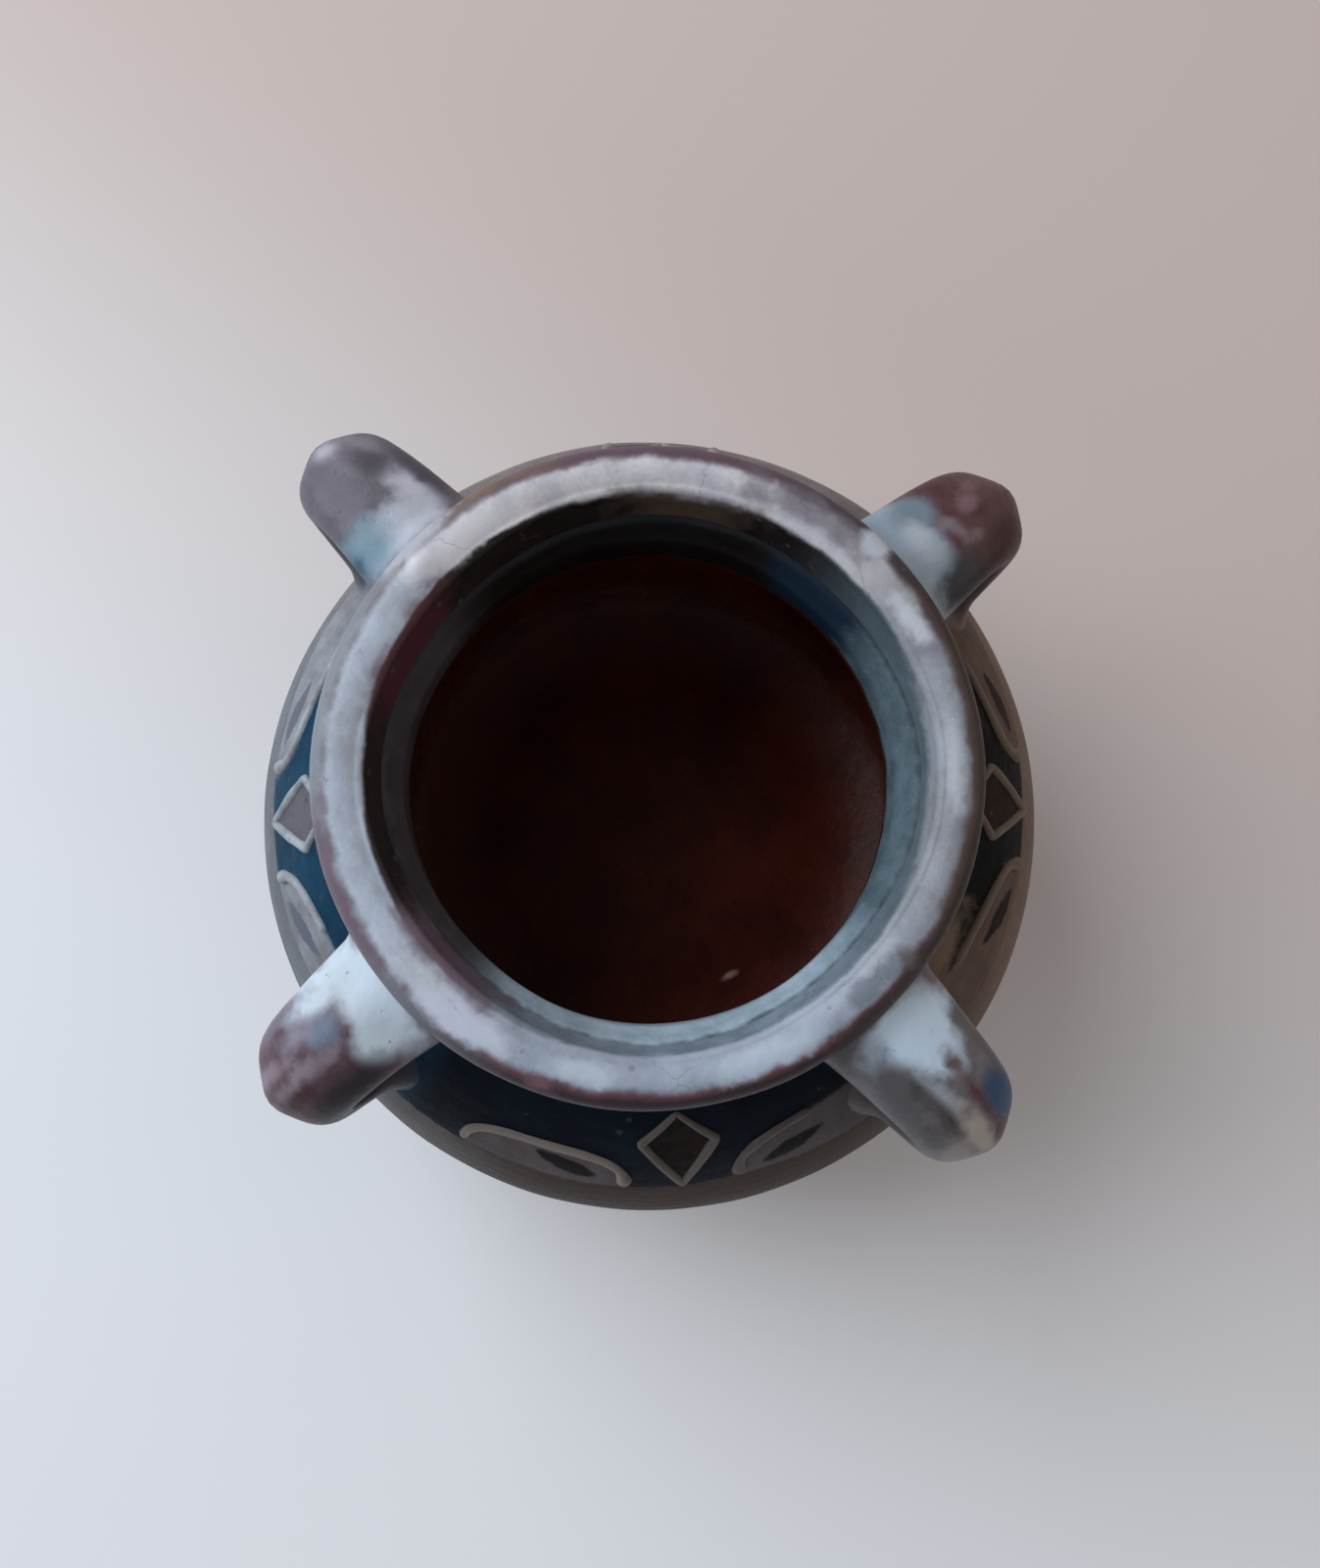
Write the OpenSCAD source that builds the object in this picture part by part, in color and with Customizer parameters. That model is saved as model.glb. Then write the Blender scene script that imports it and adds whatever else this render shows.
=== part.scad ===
// Squat four-handled ceramic vase, luted together from turned sections and bent strap handles,
// with a frieze of raised slip lines on its shoulder.
// Millimetres, +Z up, origin on the table under the middle of the foot.

/* [Body] */
// Height from the table to the top of the rim
height = 80; // [76:1:110]
// Outside diameter at the widest part of the belly
belly_d = 119; // [110:1:130]
// Share of the height at which the belly is widest
belly_share = 0.425; // [0.38:0.005:0.46]
// Thickness of the belly and shoulder walls
wall = 5.5; // [4:0.5:7]

/* [Floor and foot] */
// Thickness of the floor
floor_t = 7; // [5:0.5:10]
// Diameter of the flat part of the floor, inside
floor_flat_d = 54; // [40:1:60]
// Height of the cove that leads from the floor up to the wall
cove_h = 5; // [3:0.5:8]
// Outside diameter of the foot ring
foot_d = 66; // [58:1:76]
// Width of the foot ring
foot_w = 6; // [4:0.5:9]
// Height of the foot ring
foot_h = 3; // [2:0.5:6]
// Rounding of the foot ring's lower edges
foot_round = 1.2; // [0.4:0.1:1.8]
// Step from the foot ring out to the underside of the floor
base_step = 1.5; // [0.5:0.5:4]

/* [Neck and rim] */
// Bore of the throat, the narrowest passage
throat_d = 64.4; // [58:0.2:73]
// Thickness of the neck collar at the throat
neck_wall = 5.8; // [5:0.1:7]
// Height of the neck collar outside, from the shoulder up to the rim
neck_h = 6.7; // [4:0.1:10]
// Height of the flare from the throat out to the rim
flare_h = 4; // [2:0.5:5]
// Thickness of the neck collar where the rim sits on it
neck_lip = 3.8; // [3:0.1:4.6]
// Distance that the rim stands out beyond the neck
rim_over = 4.5; // [2.5:0.5:7]
// Height of the rim
rim_h = 7; // [5:0.5:9]
// Distance from the throat out to the inner edge of the rim
mouth_step = 3.2; // [2:0.1:4]
// Drop of the rim's top face from its outer edge to its inner edge
rim_dip = 0.8; // [0:0.1:3]
// Rounding of the rim's outer edges
rim_round = 2.4; // [1:0.1:3]
// Rounding of the rim's inner edge
lip_round = 1.2; // [0.5:0.1:2]

/* [Luted seams] */
// Height of the ridge on one piece that sits in the groove of the next
key_h = 1.2; // [0.6:0.1:2]

/* [Handles] */
// Distance that the shortest handle stands out beyond the widest part of the belly
handle_out = 5.3; // [2:0.1:8]
// Drop from the top of the rim to the top of a handle
handle_drop = 3.5; // [2:0.5:8]
// Width of the strap
strap_w = 15; // [10:0.5:20]
// Thickness of the strap
strap_t = 9; // [6:0.5:10]
// Width of the strap at its spread ends, inside the wall's line
root_w = 24; // [16:0.5:28]
// Thickness of the strap at its spread ends
root_t = 11; // [8:0.5:13]
// Distance from the neck out to the highest point of the loop
loop_out = 8; // [6:0.5:12]
// Distance from the loop's highest point in to where its curve would turn back, inside the throat
loop_in = 14.3; // [12:0.1:18]
// Drop from the highest point of the loop to its outermost point
tip_drop = 7.5; // [6:0.5:10]
// Distance that the strap's edges fall back behind its middle at its outermost point
tip_round = 2; // [0:0.5:3]
// Further reach of the east handle, beyond the shortest one's
east_extra = 1; // [0:0.1:4]
// Further reach of the north handle
north_extra = 0.2; // [0:0.1:4]
// Further reach of the west handle
west_extra = 1.6; // [0:0.1:4]

/* [Frieze] */
// Width of a slip line
bead_w = 1.5; // [0.8:0.1:2.5]
// Height that a slip line stands proud
bead_h = 0.6; // [0.3:0.1:0.8]
// Distance from the neck out to the frieze's upper edge
frieze_gap = 6; // [4:0.5:8]
// Distance from the belly's widest part in to the frieze's lower edge
frieze_inset = 5.5; // [4:0.5:8]
// Distance that an arch rises inward from the lower edge
arch_rise = 6; // [3:0.5:8]
// Distance from a lozenge's lower point to the foot of the arch beside it
arch_foot = 8; // [5:0.5:12]
// Rise of the one arch that closes before it reaches its handle, right of the south one
closed_rise = 4; // [3:0.5:6]
// Distance from the middle of the south handle to the far foot of that arch
closed_end = 19; // [16:0.5:22]
// Full width of a lozenge
lozenge_w = 10; // [6:0.5:14]
// Distance from the frieze's upper edge out to a lozenge's widest part
lozenge_drop = 4; // [2:0.5:6]

/* [Hidden] */

$fn = 360;

// Placed and pulled by hand, so the handles and lozenges aren't evenly spaced and each handle has its own reach
handle_angles = [1.2, 87, 182.6, 268.8];
handle_extra = [east_extra, north_extra, west_extra, 0];
lozenge_angles = [46, 136, 232, 323];

curve_steps = 20;
edge_steps = 6;
strap_rings = 24;
strap_sides = 20;
strap_squareness = 2.2;
upper_turn = 165;
lower_turn = 108;
flare_power = 2.5;
bead_sides = 8;
arch_rings = 14;
closed_rings = 20;
arch_squareness = 2.6;
lozenge_rings = 5;

belly_r = belly_d / 2;
inner_r = belly_r - wall;
throat_r = throat_d / 2;
neck_r = throat_r + neck_wall;
rim_r = neck_r + rim_over;
mouth_r = throat_r + mouth_step;
foot_r = foot_d / 2;
base_r = foot_r + base_step;

// Levels
floor_z = foot_h + floor_t;
cove_z = floor_z + cove_h;
belly_z = height * belly_share;
rim_z = height - rim_h;
neck_z = rim_z - neck_h;

// Half height of the oval that the shoulder follows up to the neck, outside and inside
shoulder_rise = (neck_z - belly_z) / sqrt(1 - pow(neck_r / belly_r, 2));
shoulder_in = shoulder_rise - wall;
throat_z = belly_z + shoulder_in * sqrt(1 - pow(throat_r / inner_r, 2));

// Half height of the oval that the lower belly follows down to the base, outside and inside
lower_fall = (belly_z - foot_h) / sqrt(1 - pow(base_r / belly_r, 2));
lower_in = lower_fall - wall;

// Angles on those ovals, measured from the widest part
neck_turn = acos(neck_r / belly_r);
throat_turn = acos(throat_r / inner_r);
base_turn = acos(base_r / belly_r);
cove_turn = asin((belly_z - cove_z) / lower_in);

// Handle loop: middle, top, outermost point and the level that its lower end is sunk to before it is cut
loop_r = neck_r + loop_out;
top_z = height - handle_drop - strap_t / 2;
tip_z = top_z - tip_drop;
sunk_z = shoulder_z(loop_r) - root_t / 2 - key_h;

// Frieze
frieze_top_r = neck_r + frieze_gap;
frieze_foot_r = belly_r - frieze_inset;

white_glaze = [0.74, 0.76, 0.82];
blue_glaze = [0.24, 0.36, 0.45];
grey_glaze = [0.56, 0.54, 0.55];
manganese_glaze = [0.45, 0.38, 0.43];
terracotta = [0.58, 0.36, 0.27];
pale_slip = [0.82, 0.82, 0.80];

// Height of the shoulder's outer face at a distance from the axis
function shoulder_z(r) = belly_z + shoulder_rise * sqrt(1 - pow(r / belly_r, 2));

// Outward direction of the shoulder's outer face, as [out, up]
function shoulder_normal(r) =
    let (n = [r / pow(belly_r, 2), (shoulder_z(r) - belly_z) / pow(shoulder_rise, 2)])
    n / norm(n);

// Points on an oval about the belly's middle, from one angle to another; a negative height runs downward
function oval_run(half_w, half_h, from, to) = [
    for (i = [0:curve_steps])
        let (a = from + (to - from) * i / curve_steps)
        [half_w * cos(a), belly_z + half_h * sin(a)]
];

function arc(centre, r, from, to) = [
    for (i = [0:edge_steps])
        let (a = from + (to - from) * i / edge_steps)
        centre + r * [cos(a), sin(a)]
];

// Cove from the flat floor to the wall, level where it leaves the floor and in line with the wall above
function cove_run() =
    let (
        start = [floor_flat_d / 2, floor_z],
        end = oval_run(inner_r, -lower_in, cove_turn, 0)[0],
        lean = inner_r * tan(cove_turn) / lower_in,
        corner = [end.x - cove_h * lean, floor_z]
    )
    [
        for (i = [0:curve_steps])
            let (t = i / curve_steps)
            pow(1 - t, 2) * start + 2 * t * (1 - t) * corner + t * t * end
    ];

// V-shaped seam between two pieces, from outside to inside; a positive lift turns the ridge upward
function seam(outer, inner, lift) = [outer, (outer + inner) / 2 + [0, lift], inner];

function reversed(list) = [for (i = [len(list) - 1:-1:0]) list[i]];
function signed_pow(x, p) = sign(x) * pow(abs(x), p);

foot_seam = seam([foot_r, foot_h], [foot_r - foot_w, foot_h], key_h);
floor_seam = seam(
    oval_run(belly_r, -lower_fall, cove_turn, 0)[0],
    oval_run(inner_r, -lower_in, cove_turn, 0)[0],
    -key_h
);
belly_seam = seam([belly_r, belly_z], [inner_r, belly_z], -key_h);
neck_seam = seam([neck_r, neck_z], [throat_r, throat_z], -key_h);
rim_seam = seam([neck_r, rim_z], [neck_r - neck_lip, rim_z], -key_h);

// Outline of the rim from its seam, out round its edges and in over its top face
function rim_outside() =
    let (edge = min(rim_round, rim_r - neck_r, rim_h / 2), edge_r = rim_r - edge)
    concat(
        arc([edge_r, rim_z + edge], edge, -90, 0),
        arc([edge_r, height - edge], edge, 0, 90)
    );

module turned(outline) {
    rotate_extrude() polygon(outline);
}

// The whole pot as one filled shape, which the handles and the slip lines are cut to fit
module filled_pot() {
    turned(concat(
        [[0, foot_h]],
        oval_run(belly_r, -lower_fall, base_turn, cove_turn),
        oval_run(belly_r, -lower_fall, cove_turn, 0),
        oval_run(belly_r, shoulder_rise, 0, neck_turn),
        [[neck_r, rim_z]],
        rim_outside(),
        [[0, height]]
    ));
}

module foot_ring() {
    foot_in_r = foot_r - foot_w;
    color(terracotta)
        turned(concat(
            foot_seam,
            arc([foot_in_r + foot_round, foot_round], foot_round, 180, 270),
            arc([foot_r - foot_round, foot_round], foot_round, 270, 360)
        ));
}

module floor_disc() {
    color(terracotta)
        turned(concat(
            [[0, floor_z]],
            cove_run(),
            reversed(floor_seam),
            oval_run(belly_r, -lower_fall, cove_turn, base_turn),
            foot_seam,
            [[0, foot_h]]
        ));
}

module lower_wall() {
    color(grey_glaze)
        turned(concat(
            reversed(floor_seam),
            oval_run(belly_r, -lower_fall, cove_turn, 0),
            belly_seam,
            oval_run(inner_r, -lower_in, 0, cove_turn)
        ));
}

module shoulder_wall() {
    color(blue_glaze)
        turned(concat(
            reversed(belly_seam),
            oval_run(belly_r, shoulder_rise, 0, neck_turn),
            neck_seam,
            oval_run(inner_r, shoulder_in, throat_turn, 0)
        ));
}

module neck_collar() {
    color(white_glaze)
        turned(concat(
            reversed(neck_seam),
            rim_seam,
            [[throat_r, rim_z - flare_h]]
        ));
}

module rim_coil() {
    lip_centre = [mouth_r + lip_round, height - rim_dip - lip_round];
    color(white_glaze)
        turned(concat(
            reversed(rim_seam),
            rim_outside(),
            arc(lip_centre, lip_round, 90, 180)
        ));
}

// One ring of the strap at an angle round its loop, which is taller below its outermost point than above
function strap_ring(a, reach, inward) =
    let (
        up = a > 0 ? tip_drop : tip_z - sunk_z,
        out = cos(a) > 0 ? reach : inward,
        spread = pow(a > 0 ? a / upper_turn : -a / lower_turn, flare_power),
        half_w = (strap_w + (root_w - strap_w) * spread) / 2,
        half_t = (strap_t + (root_t - strap_t) * spread) / 2,
        centre = [loop_r + out * cos(a), 0, tip_z + up * sin(a)],
        slope = [cos(a) / out, 0, sin(a) / up],
        outward = slope / norm(slope)
    )
    [
        for (i = [0:strap_sides - 1])
            let (
                b = 360 * i / strap_sides,
                p = 2 / strap_squareness,
                aside = signed_pow(cos(b), p),
                back = tip_round * pow(max(cos(a), 0) * aside, 2)
            )
            centre + [-back, half_w * aside, 0] + outward * half_t * signed_pow(sin(b), p)
    ];

// Closed skin over a row of rings that all have the same number of points
module swept(rings, closed = false) {
    sides = len(rings[0]);
    count = len(rings);
    last = closed ? count - 1 : count - 2;
    skin = [
        for (i = [0:last], j = [0:sides - 1])
            let (
                a = i * sides + j,
                b = i * sides + (j + 1) % sides,
                c = ((i + 1) % count) * sides + (j + 1) % sides,
                d = ((i + 1) % count) * sides + j
            )
            each [[a, b, c], [a, c, d]]
    ];
    ends = closed ? [] : [
        [for (j = [sides - 1:-1:0]) j],
        [for (j = [0:sides - 1]) (count - 1) * sides + j]
    ];
    polyhedron([for (ring = rings) each ring], concat(skin, ends));
}

module handle(place) {
    tip_r = belly_r + handle_out + handle_extra[place] - strap_t / 2;
    rings = [
        for (i = [0:strap_rings])
            let (a = upper_turn - (upper_turn + lower_turn) * i / strap_rings)
            strap_ring(a, tip_r - loop_r, loop_in + handle_extra[place])
    ];
    color(manganese_glaze)
        rotate([0, 0, handle_angles[place]])
            difference() {
                swept(rings);
                filled_pot();
            }
}

// One ring of a slip line at a place on the shoulder, given the direction that the line runs in
function bead_ring(place, run) =
    let (
        angle = place[0],
        n = shoulder_normal(place[1]),
        up = [n.x * cos(angle), n.x * sin(angle), n.y],
        across = cross(run, up),
        side = across / norm(across),
        r = bead_w / 2,
        centre = on_shoulder(place) + up * (bead_h - r)
    )
    [
        for (i = [0:bead_sides - 1])
            let (b = 360 * i / bead_sides)
            centre + side * r * cos(b) + up * r * sin(b)
    ];

// A place on the shoulder is [angle round the axis, distance from the axis]
function on_shoulder(place) =
    [place[1] * cos(place[0]), place[1] * sin(place[0]), shoulder_z(place[1])];

// Slip line along a row of places on the shoulder, half sunk in the wall and then cut off at its face
module slip_line(places, closed = false) {
    count = len(places);
    rings = [
        for (i = [0:count - 1])
            let (
                before = closed ? (i + count - 1) % count : max(i - 1, 0),
                after = closed ? (i + 1) % count : min(i + 1, count - 1),
                run = on_shoulder(places[after]) - on_shoulder(places[before])
            )
            bead_ring(places[i], run)
    ];
    difference() {
        swept(rings, closed);
        filled_pot();
    }
}

// Half of an arch, from its foot beside a lozenge up to the side of a handle's lower end
module half_arch(handle_angle, foot_angle) {
    span = foot_angle - handle_angle;
    root_half = asin((root_w / 2 + bead_w) / (frieze_foot_r - arch_rise));
    turn = acos(pow(root_half / abs(span), arch_squareness / 2));
    slip_line([
        for (i = [0:arch_rings])
            let (a = turn * i / arch_rings, p = 2 / arch_squareness)
            [handle_angle + span * pow(cos(a), p), frieze_foot_r - arch_rise * pow(sin(a), p)]
    ]);
}

// Whole arch between two feet on the frieze's lower edge
module closed_arch(from_angle, to_angle) {
    middle = (from_angle + to_angle) / 2;
    half_span = (to_angle - from_angle) / 2;
    p = 2 / arch_squareness;
    slip_line([
        for (i = [0:closed_rings])
            let (a = 180 * i / closed_rings, across = sign(cos(a)) * pow(abs(cos(a)), p))
            [middle - half_span * across, frieze_foot_r - closed_rise * pow(sin(a), p)]
    ]);
}

module slip_arches() {
    foot_turn = asin(arch_foot / frieze_foot_r);
    end_turn = asin(closed_end / frieze_foot_r);
    color(pale_slip)
        for (i = [0:3]) {
            before = i == 0 ? lozenge_angles[3] - 360 : lozenge_angles[i - 1];
            half_arch(handle_angles[i], before + foot_turn);
            if (i < 3)
                half_arch(handle_angles[i], lozenge_angles[i] - foot_turn);
            else
                closed_arch(handle_angles[i] + end_turn, lozenge_angles[i] - foot_turn);
        }
}

module slip_lozenges() {
    mid_r = frieze_top_r + lozenge_drop;
    half_turn = asin(lozenge_w / 2 / mid_r);
    color(pale_slip)
        for (a = lozenge_angles) {
            corners = [[a, frieze_top_r], [a + half_turn, mid_r], [a, frieze_foot_r], [a - half_turn, mid_r]];
            slip_line([
                for (i = [0:3], j = [0:lozenge_rings - 1])
                    corners[i] + (corners[(i + 1) % 4] - corners[i]) * j / lozenge_rings
            ], closed = true);
        }
}

foot_ring();
floor_disc();
lower_wall();
shoulder_wall();
neck_collar();
rim_coil();
handle(0);  // handle_east
handle(1);  // handle_north
handle(2);  // handle_west
handle(3);  // handle_south
slip_arches();
slip_lozenges();
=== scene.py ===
import math

import bmesh
import bpy
import numpy as np
from mathutils import Matrix, Vector


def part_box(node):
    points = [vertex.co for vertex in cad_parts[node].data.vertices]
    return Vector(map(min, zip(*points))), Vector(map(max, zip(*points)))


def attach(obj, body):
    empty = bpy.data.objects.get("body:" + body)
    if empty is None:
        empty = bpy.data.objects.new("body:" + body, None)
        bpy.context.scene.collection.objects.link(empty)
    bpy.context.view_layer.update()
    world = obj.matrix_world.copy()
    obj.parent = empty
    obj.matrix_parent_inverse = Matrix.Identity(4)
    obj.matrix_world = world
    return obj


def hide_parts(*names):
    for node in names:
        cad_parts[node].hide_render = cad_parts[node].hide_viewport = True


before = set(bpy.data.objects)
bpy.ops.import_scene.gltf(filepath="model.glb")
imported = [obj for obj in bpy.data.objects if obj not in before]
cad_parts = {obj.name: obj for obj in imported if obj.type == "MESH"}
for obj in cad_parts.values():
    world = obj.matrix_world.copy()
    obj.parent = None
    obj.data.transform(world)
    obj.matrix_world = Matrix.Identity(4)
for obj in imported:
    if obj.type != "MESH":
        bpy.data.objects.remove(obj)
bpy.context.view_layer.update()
mm = 0.001
print("frame loaded:", len(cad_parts), "nodes")


def reach(node):  # farthest from the axis and highest, in mm
    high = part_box(node)[1]
    return max(high.x, high.y) / mm, high.z / mm


rimRadius, topLevel = reach("rim_coil")
neckRadius, rimLevel = reach("neck_collar")
bellyRadius, neckLevel = reach("shoulder_wall")
footRadius = reach("foot_ring")[0]
bellyLevel = reach("lower_wall")[1]
pot = {
    "footHeight": 3.0,
    "footWidth": 6.0,
    "footRound": 1.2,
    "baseStep": 1.5,
    "wall": 5.5,
    "floorThickness": 7.0,
    "floorFlat": 27.0,     # radius of the flat floor inside
    "coveHeight": 5.0,
    "throatRadius": 32.2,
    "flareHeight": 4.0,
    "mouthRadius": 35.4,
    "rimSeat": 34.2,       # inner radius of the joint under the rim
    "rimDip": 0.8,
    "rimCrown": 0.35,      # swelling of the rim's top face
    "rimRound": 2.4,
    "lipRound": 1.2,
    "key": 1.2,            # height of the ridge in each luted seam
    "notchIn": 0.15,       # the open line that shows where the rim sits on the neck
    "notchDeep": 0.7,
}
throatRadius = pot["throatRadius"]
innerRadius = bellyRadius - pot["wall"]
baseRadius = footRadius + pot["baseStep"]
floorLevel = pot["footHeight"] + pot["floorThickness"]
coveLevel = floorLevel + pot["coveHeight"]
neckTurn = math.acos(neckRadius / bellyRadius)
throatTurn = math.acos(throatRadius / innerRadius)
baseTurn = math.acos(baseRadius / bellyRadius)
shoulderRise = (neckLevel - bellyLevel) / math.sin(neckTurn)
shoulderIn = shoulderRise - pot["wall"]
throatLevel = bellyLevel + shoulderIn * math.sin(throatTurn)
lowerFall = (bellyLevel - pot["footHeight"]) / math.sin(baseTurn)
lowerIn = lowerFall - pot["wall"]
coveTurn = math.asin((bellyLevel - coveLevel) / lowerIn)


def readSpots(data, key):  # rows of x, y and z in mm
    flat = np.zeros(len(data) * 3)
    data.foreach_get(key, flat)
    return flat.reshape(-1, 3) / mm


def nodePoints(name):  # a CAD node's corners
    return readSpots(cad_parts[name].data.vertices, "co")


def wrapped(turn):  # to between half a turn back and half a turn on
    return (turn + math.pi) % (2 * math.pi) - math.pi


handleNames = ["handle_east", "handle_north", "handle_west", "handle_south"]
handleTurns = [math.atan2(y, x) for x, y, _ in (nodePoints(name).mean(0) for name in handleNames)]
lozengeTurns = [math.radians(a) for a in (46, 136, 232, 323)]

# the photograph's own right and up, laid flat on the table
photoTurn = math.radians(48)
photoRight = Vector((math.cos(photoTurn), math.sin(photoTurn), 0))
photoUp = Vector((-math.sin(photoTurn), math.cos(photoTurn), 0))


def photoSpot(right, up, above):  # a spot or a way, given as the photograph lies
    return photoRight * right + photoUp * up + Vector((0, 0, above))


def srgb(red, green, blue):  # 0 to 255 as seen, to the linear colour that a socket takes
    seen = [value / 255 for value in (red, green, blue)]
    flat = [v / 12.92 if v <= 0.04045 else ((v + 0.055) / 1.055) ** 2.4 for v in seen]
    return (*flat, 1.0)


# node helpers, for geometry and shader trees alike

class Wire:  # an output socket that sums can be written with
    def __init__(self, nodes, socket):
        self.nodes, self.socket = nodes, socket

    def __add__(self, other):
        return self.nodes.calc("ADD", self, other)

    def __sub__(self, other):
        return self.nodes.calc("SUBTRACT", self, other)

    def __rsub__(self, other):
        return self.nodes.calc("SUBTRACT", other, self)

    def __mul__(self, other):
        return self.nodes.calc("MULTIPLY", self, other)

    def __truediv__(self, other):
        return self.nodes.calc("DIVIDE", self, other)

    def __rtruediv__(self, other):
        return self.nodes.calc("DIVIDE", other, self)


class Nodes:  # a node tree while it is wired up
    def __init__(self, tree):
        self.tree = tree

    def feed(self, socket, value):
        if isinstance(value, Wire):
            self.tree.links.new(value.socket, socket)
        else:
            socket.default_value = value

    def put(self, kind, values=None, **settings):
        node = self.tree.nodes.new(kind)
        for key, value in settings.items():
            setattr(node, key, value)
        for key, value in (values or {}).items():
            self.feed(node.inputs[key], value)
        return node

    def out(self, kind, values=None, output=0, **settings):
        return Wire(self, self.put(kind, values, **settings).outputs[output])

    def outs(self, kind, values, **settings):
        return [Wire(self, socket) for socket in self.put(kind, values, **settings).outputs]

    def calc(self, operation, *terms):
        return self.out("ShaderNodeMath", dict(enumerate(terms)), operation=operation)

    def move(self, operation, *terms):
        return self.out("ShaderNodeVectorMath", dict(enumerate(terms)), operation=operation)

    def measure(self, operation, *terms):
        return self.out("ShaderNodeVectorMath", dict(enumerate(terms)), "Value", operation=operation)

    def scaled(self, vector, scale):
        return self.out("ShaderNodeVectorMath", {0: vector, "Scale": scale}, operation="SCALE")

    def flat(self, vector):
        return self.move("MULTIPLY", vector, (1, 1, 0))

    def parts(self, vector):
        return self.outs("ShaderNodeSeparateXYZ", {0: vector})

    def stretch(self, value, fromLow, fromHigh, low=0.0, high=1.0, kind="SMOOTHSTEP"):
        values = {0: value, 1: fromLow, 2: fromHigh, 3: low, 4: high}
        return self.out("ShaderNodeMapRange", values, interpolation_type=kind)

    def noise(self, place, scale, detail, output=0, **more):
        values = {"Vector": place, "Scale": scale, "Detail": detail, **more}
        return self.out("ShaderNodeTexNoise", values, output)

    def mixed(self, share, under, over):
        return self.out("ShaderNodeMix", {0: share, 6: under, 7: over}, 2, data_type="RGBA")


class Group(Nodes):  # a node group with named inputs and outputs
    def __init__(self, name, kind, inputs, outputs):
        super().__init__(bpy.data.node_groups.new(name, kind))
        face = self.tree.interface
        for label, socketKind, value in inputs:
            socket = face.new_socket(label, in_out="INPUT", socket_type="NodeSocket" + socketKind)
            if value is not None:
                socket.default_value = value
        for label, socketKind in outputs:
            face.new_socket(label, in_out="OUTPUT", socket_type="NodeSocket" + socketKind)
        self.start = self.tree.nodes.new("NodeGroupInput").outputs
        self.end = self.tree.nodes.new("NodeGroupOutput").inputs

    def __getitem__(self, label):
        return Wire(self, self.start[label])

    def give(self, **values):
        for label, value in values.items():
            self.feed(self.end[label], value)
        return self.tree


# geometry trees

handMade = {
    "sway": 0.45,        # mm, slow lean of the walls
    "lump": 0.10,        # mm, finger-sized unevenness
    "swaySize": 45.0,    # mm, size of a lean
    "lumpSize": 10.0,
    "mouthPush": 0.45,   # mm that each handle pressed the mouth in
    "mouthShift": 0.5,   # mm that the mouth sits off the middle
    "mouthEdge": 2.0,    # mm inside the rim's outer edge where the mouth's own bend begins
    "mouthFoot": 1.0,    # mm below the throat where it begins
    "flatBelow": 6.0,    # mm above the table under which nothing leans
}


def makeWobbleGroup():
    t = Group("handWobble", "GeometryNodeTree", [("Place", "Vector", None)], [("Offset", "Vector")])
    h, place = handMade, t["Place"]
    x, y, level = t.parts(place)
    leans = []
    for amount, size, detail in ((h["sway"], h["swaySize"], 1.0), (h["lump"], h["lumpSize"], 0.0)):
        swing = t.move("SUBTRACT", t.noise(place, 1 / (size * mm), detail, "Color"), (0.5, 0.5, 0.5))
        leans.append(t.scaled(swing, 2 * amount * mm))
    standing = t.stretch(level, h["flatBelow"] * mm, 3 * h["flatBelow"] * mm)
    leaning = t.scaled(t.move("ADD", *leans), standing)
    # the mouth: pressed in behind each handle and a little off the middle
    flat = t.flat(place)
    fromAxis = t.measure("LENGTH", flat)
    near = t.stretch(fromAxis, (rimRadius - h["mouthEdge"]) * mm, pot["mouthRadius"] * mm)
    atMouth = near * t.stretch(level, (throatLevel - h["mouthFoot"]) * mm, rimLevel * mm)
    fourfold = t.calc("COSINE", (t.calc("ARCTAN2", y, x) - handleTurns[0]) * 4.0)
    pushed = t.scaled(t.move("NORMALIZE", flat), fourfold * (-h["mouthPush"] * mm) * atMouth)
    shifted = t.scaled(tuple(photoRight * h["mouthShift"] * mm), atMouth)
    return t.give(Offset=t.move("ADD", leaning, t.move("ADD", pushed, shifted)))


wobbleGroup = makeWobbleGroup()


def lean(t, shape):
    spot = t.out("GeometryNodeInputPosition")
    offset = t.out("GeometryNodeGroup", {"Place": spot}, node_tree=wobbleGroup)
    return t.out("GeometryNodeSetPosition", {"Geometry": shape, "Offset": offset})


def coat(t, shape, material):
    real = t.out("GeometryNodeRealizeInstances", {"Geometry": shape})
    return t.out("GeometryNodeSetMaterial", {"Geometry": real, "Material": material})


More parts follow.
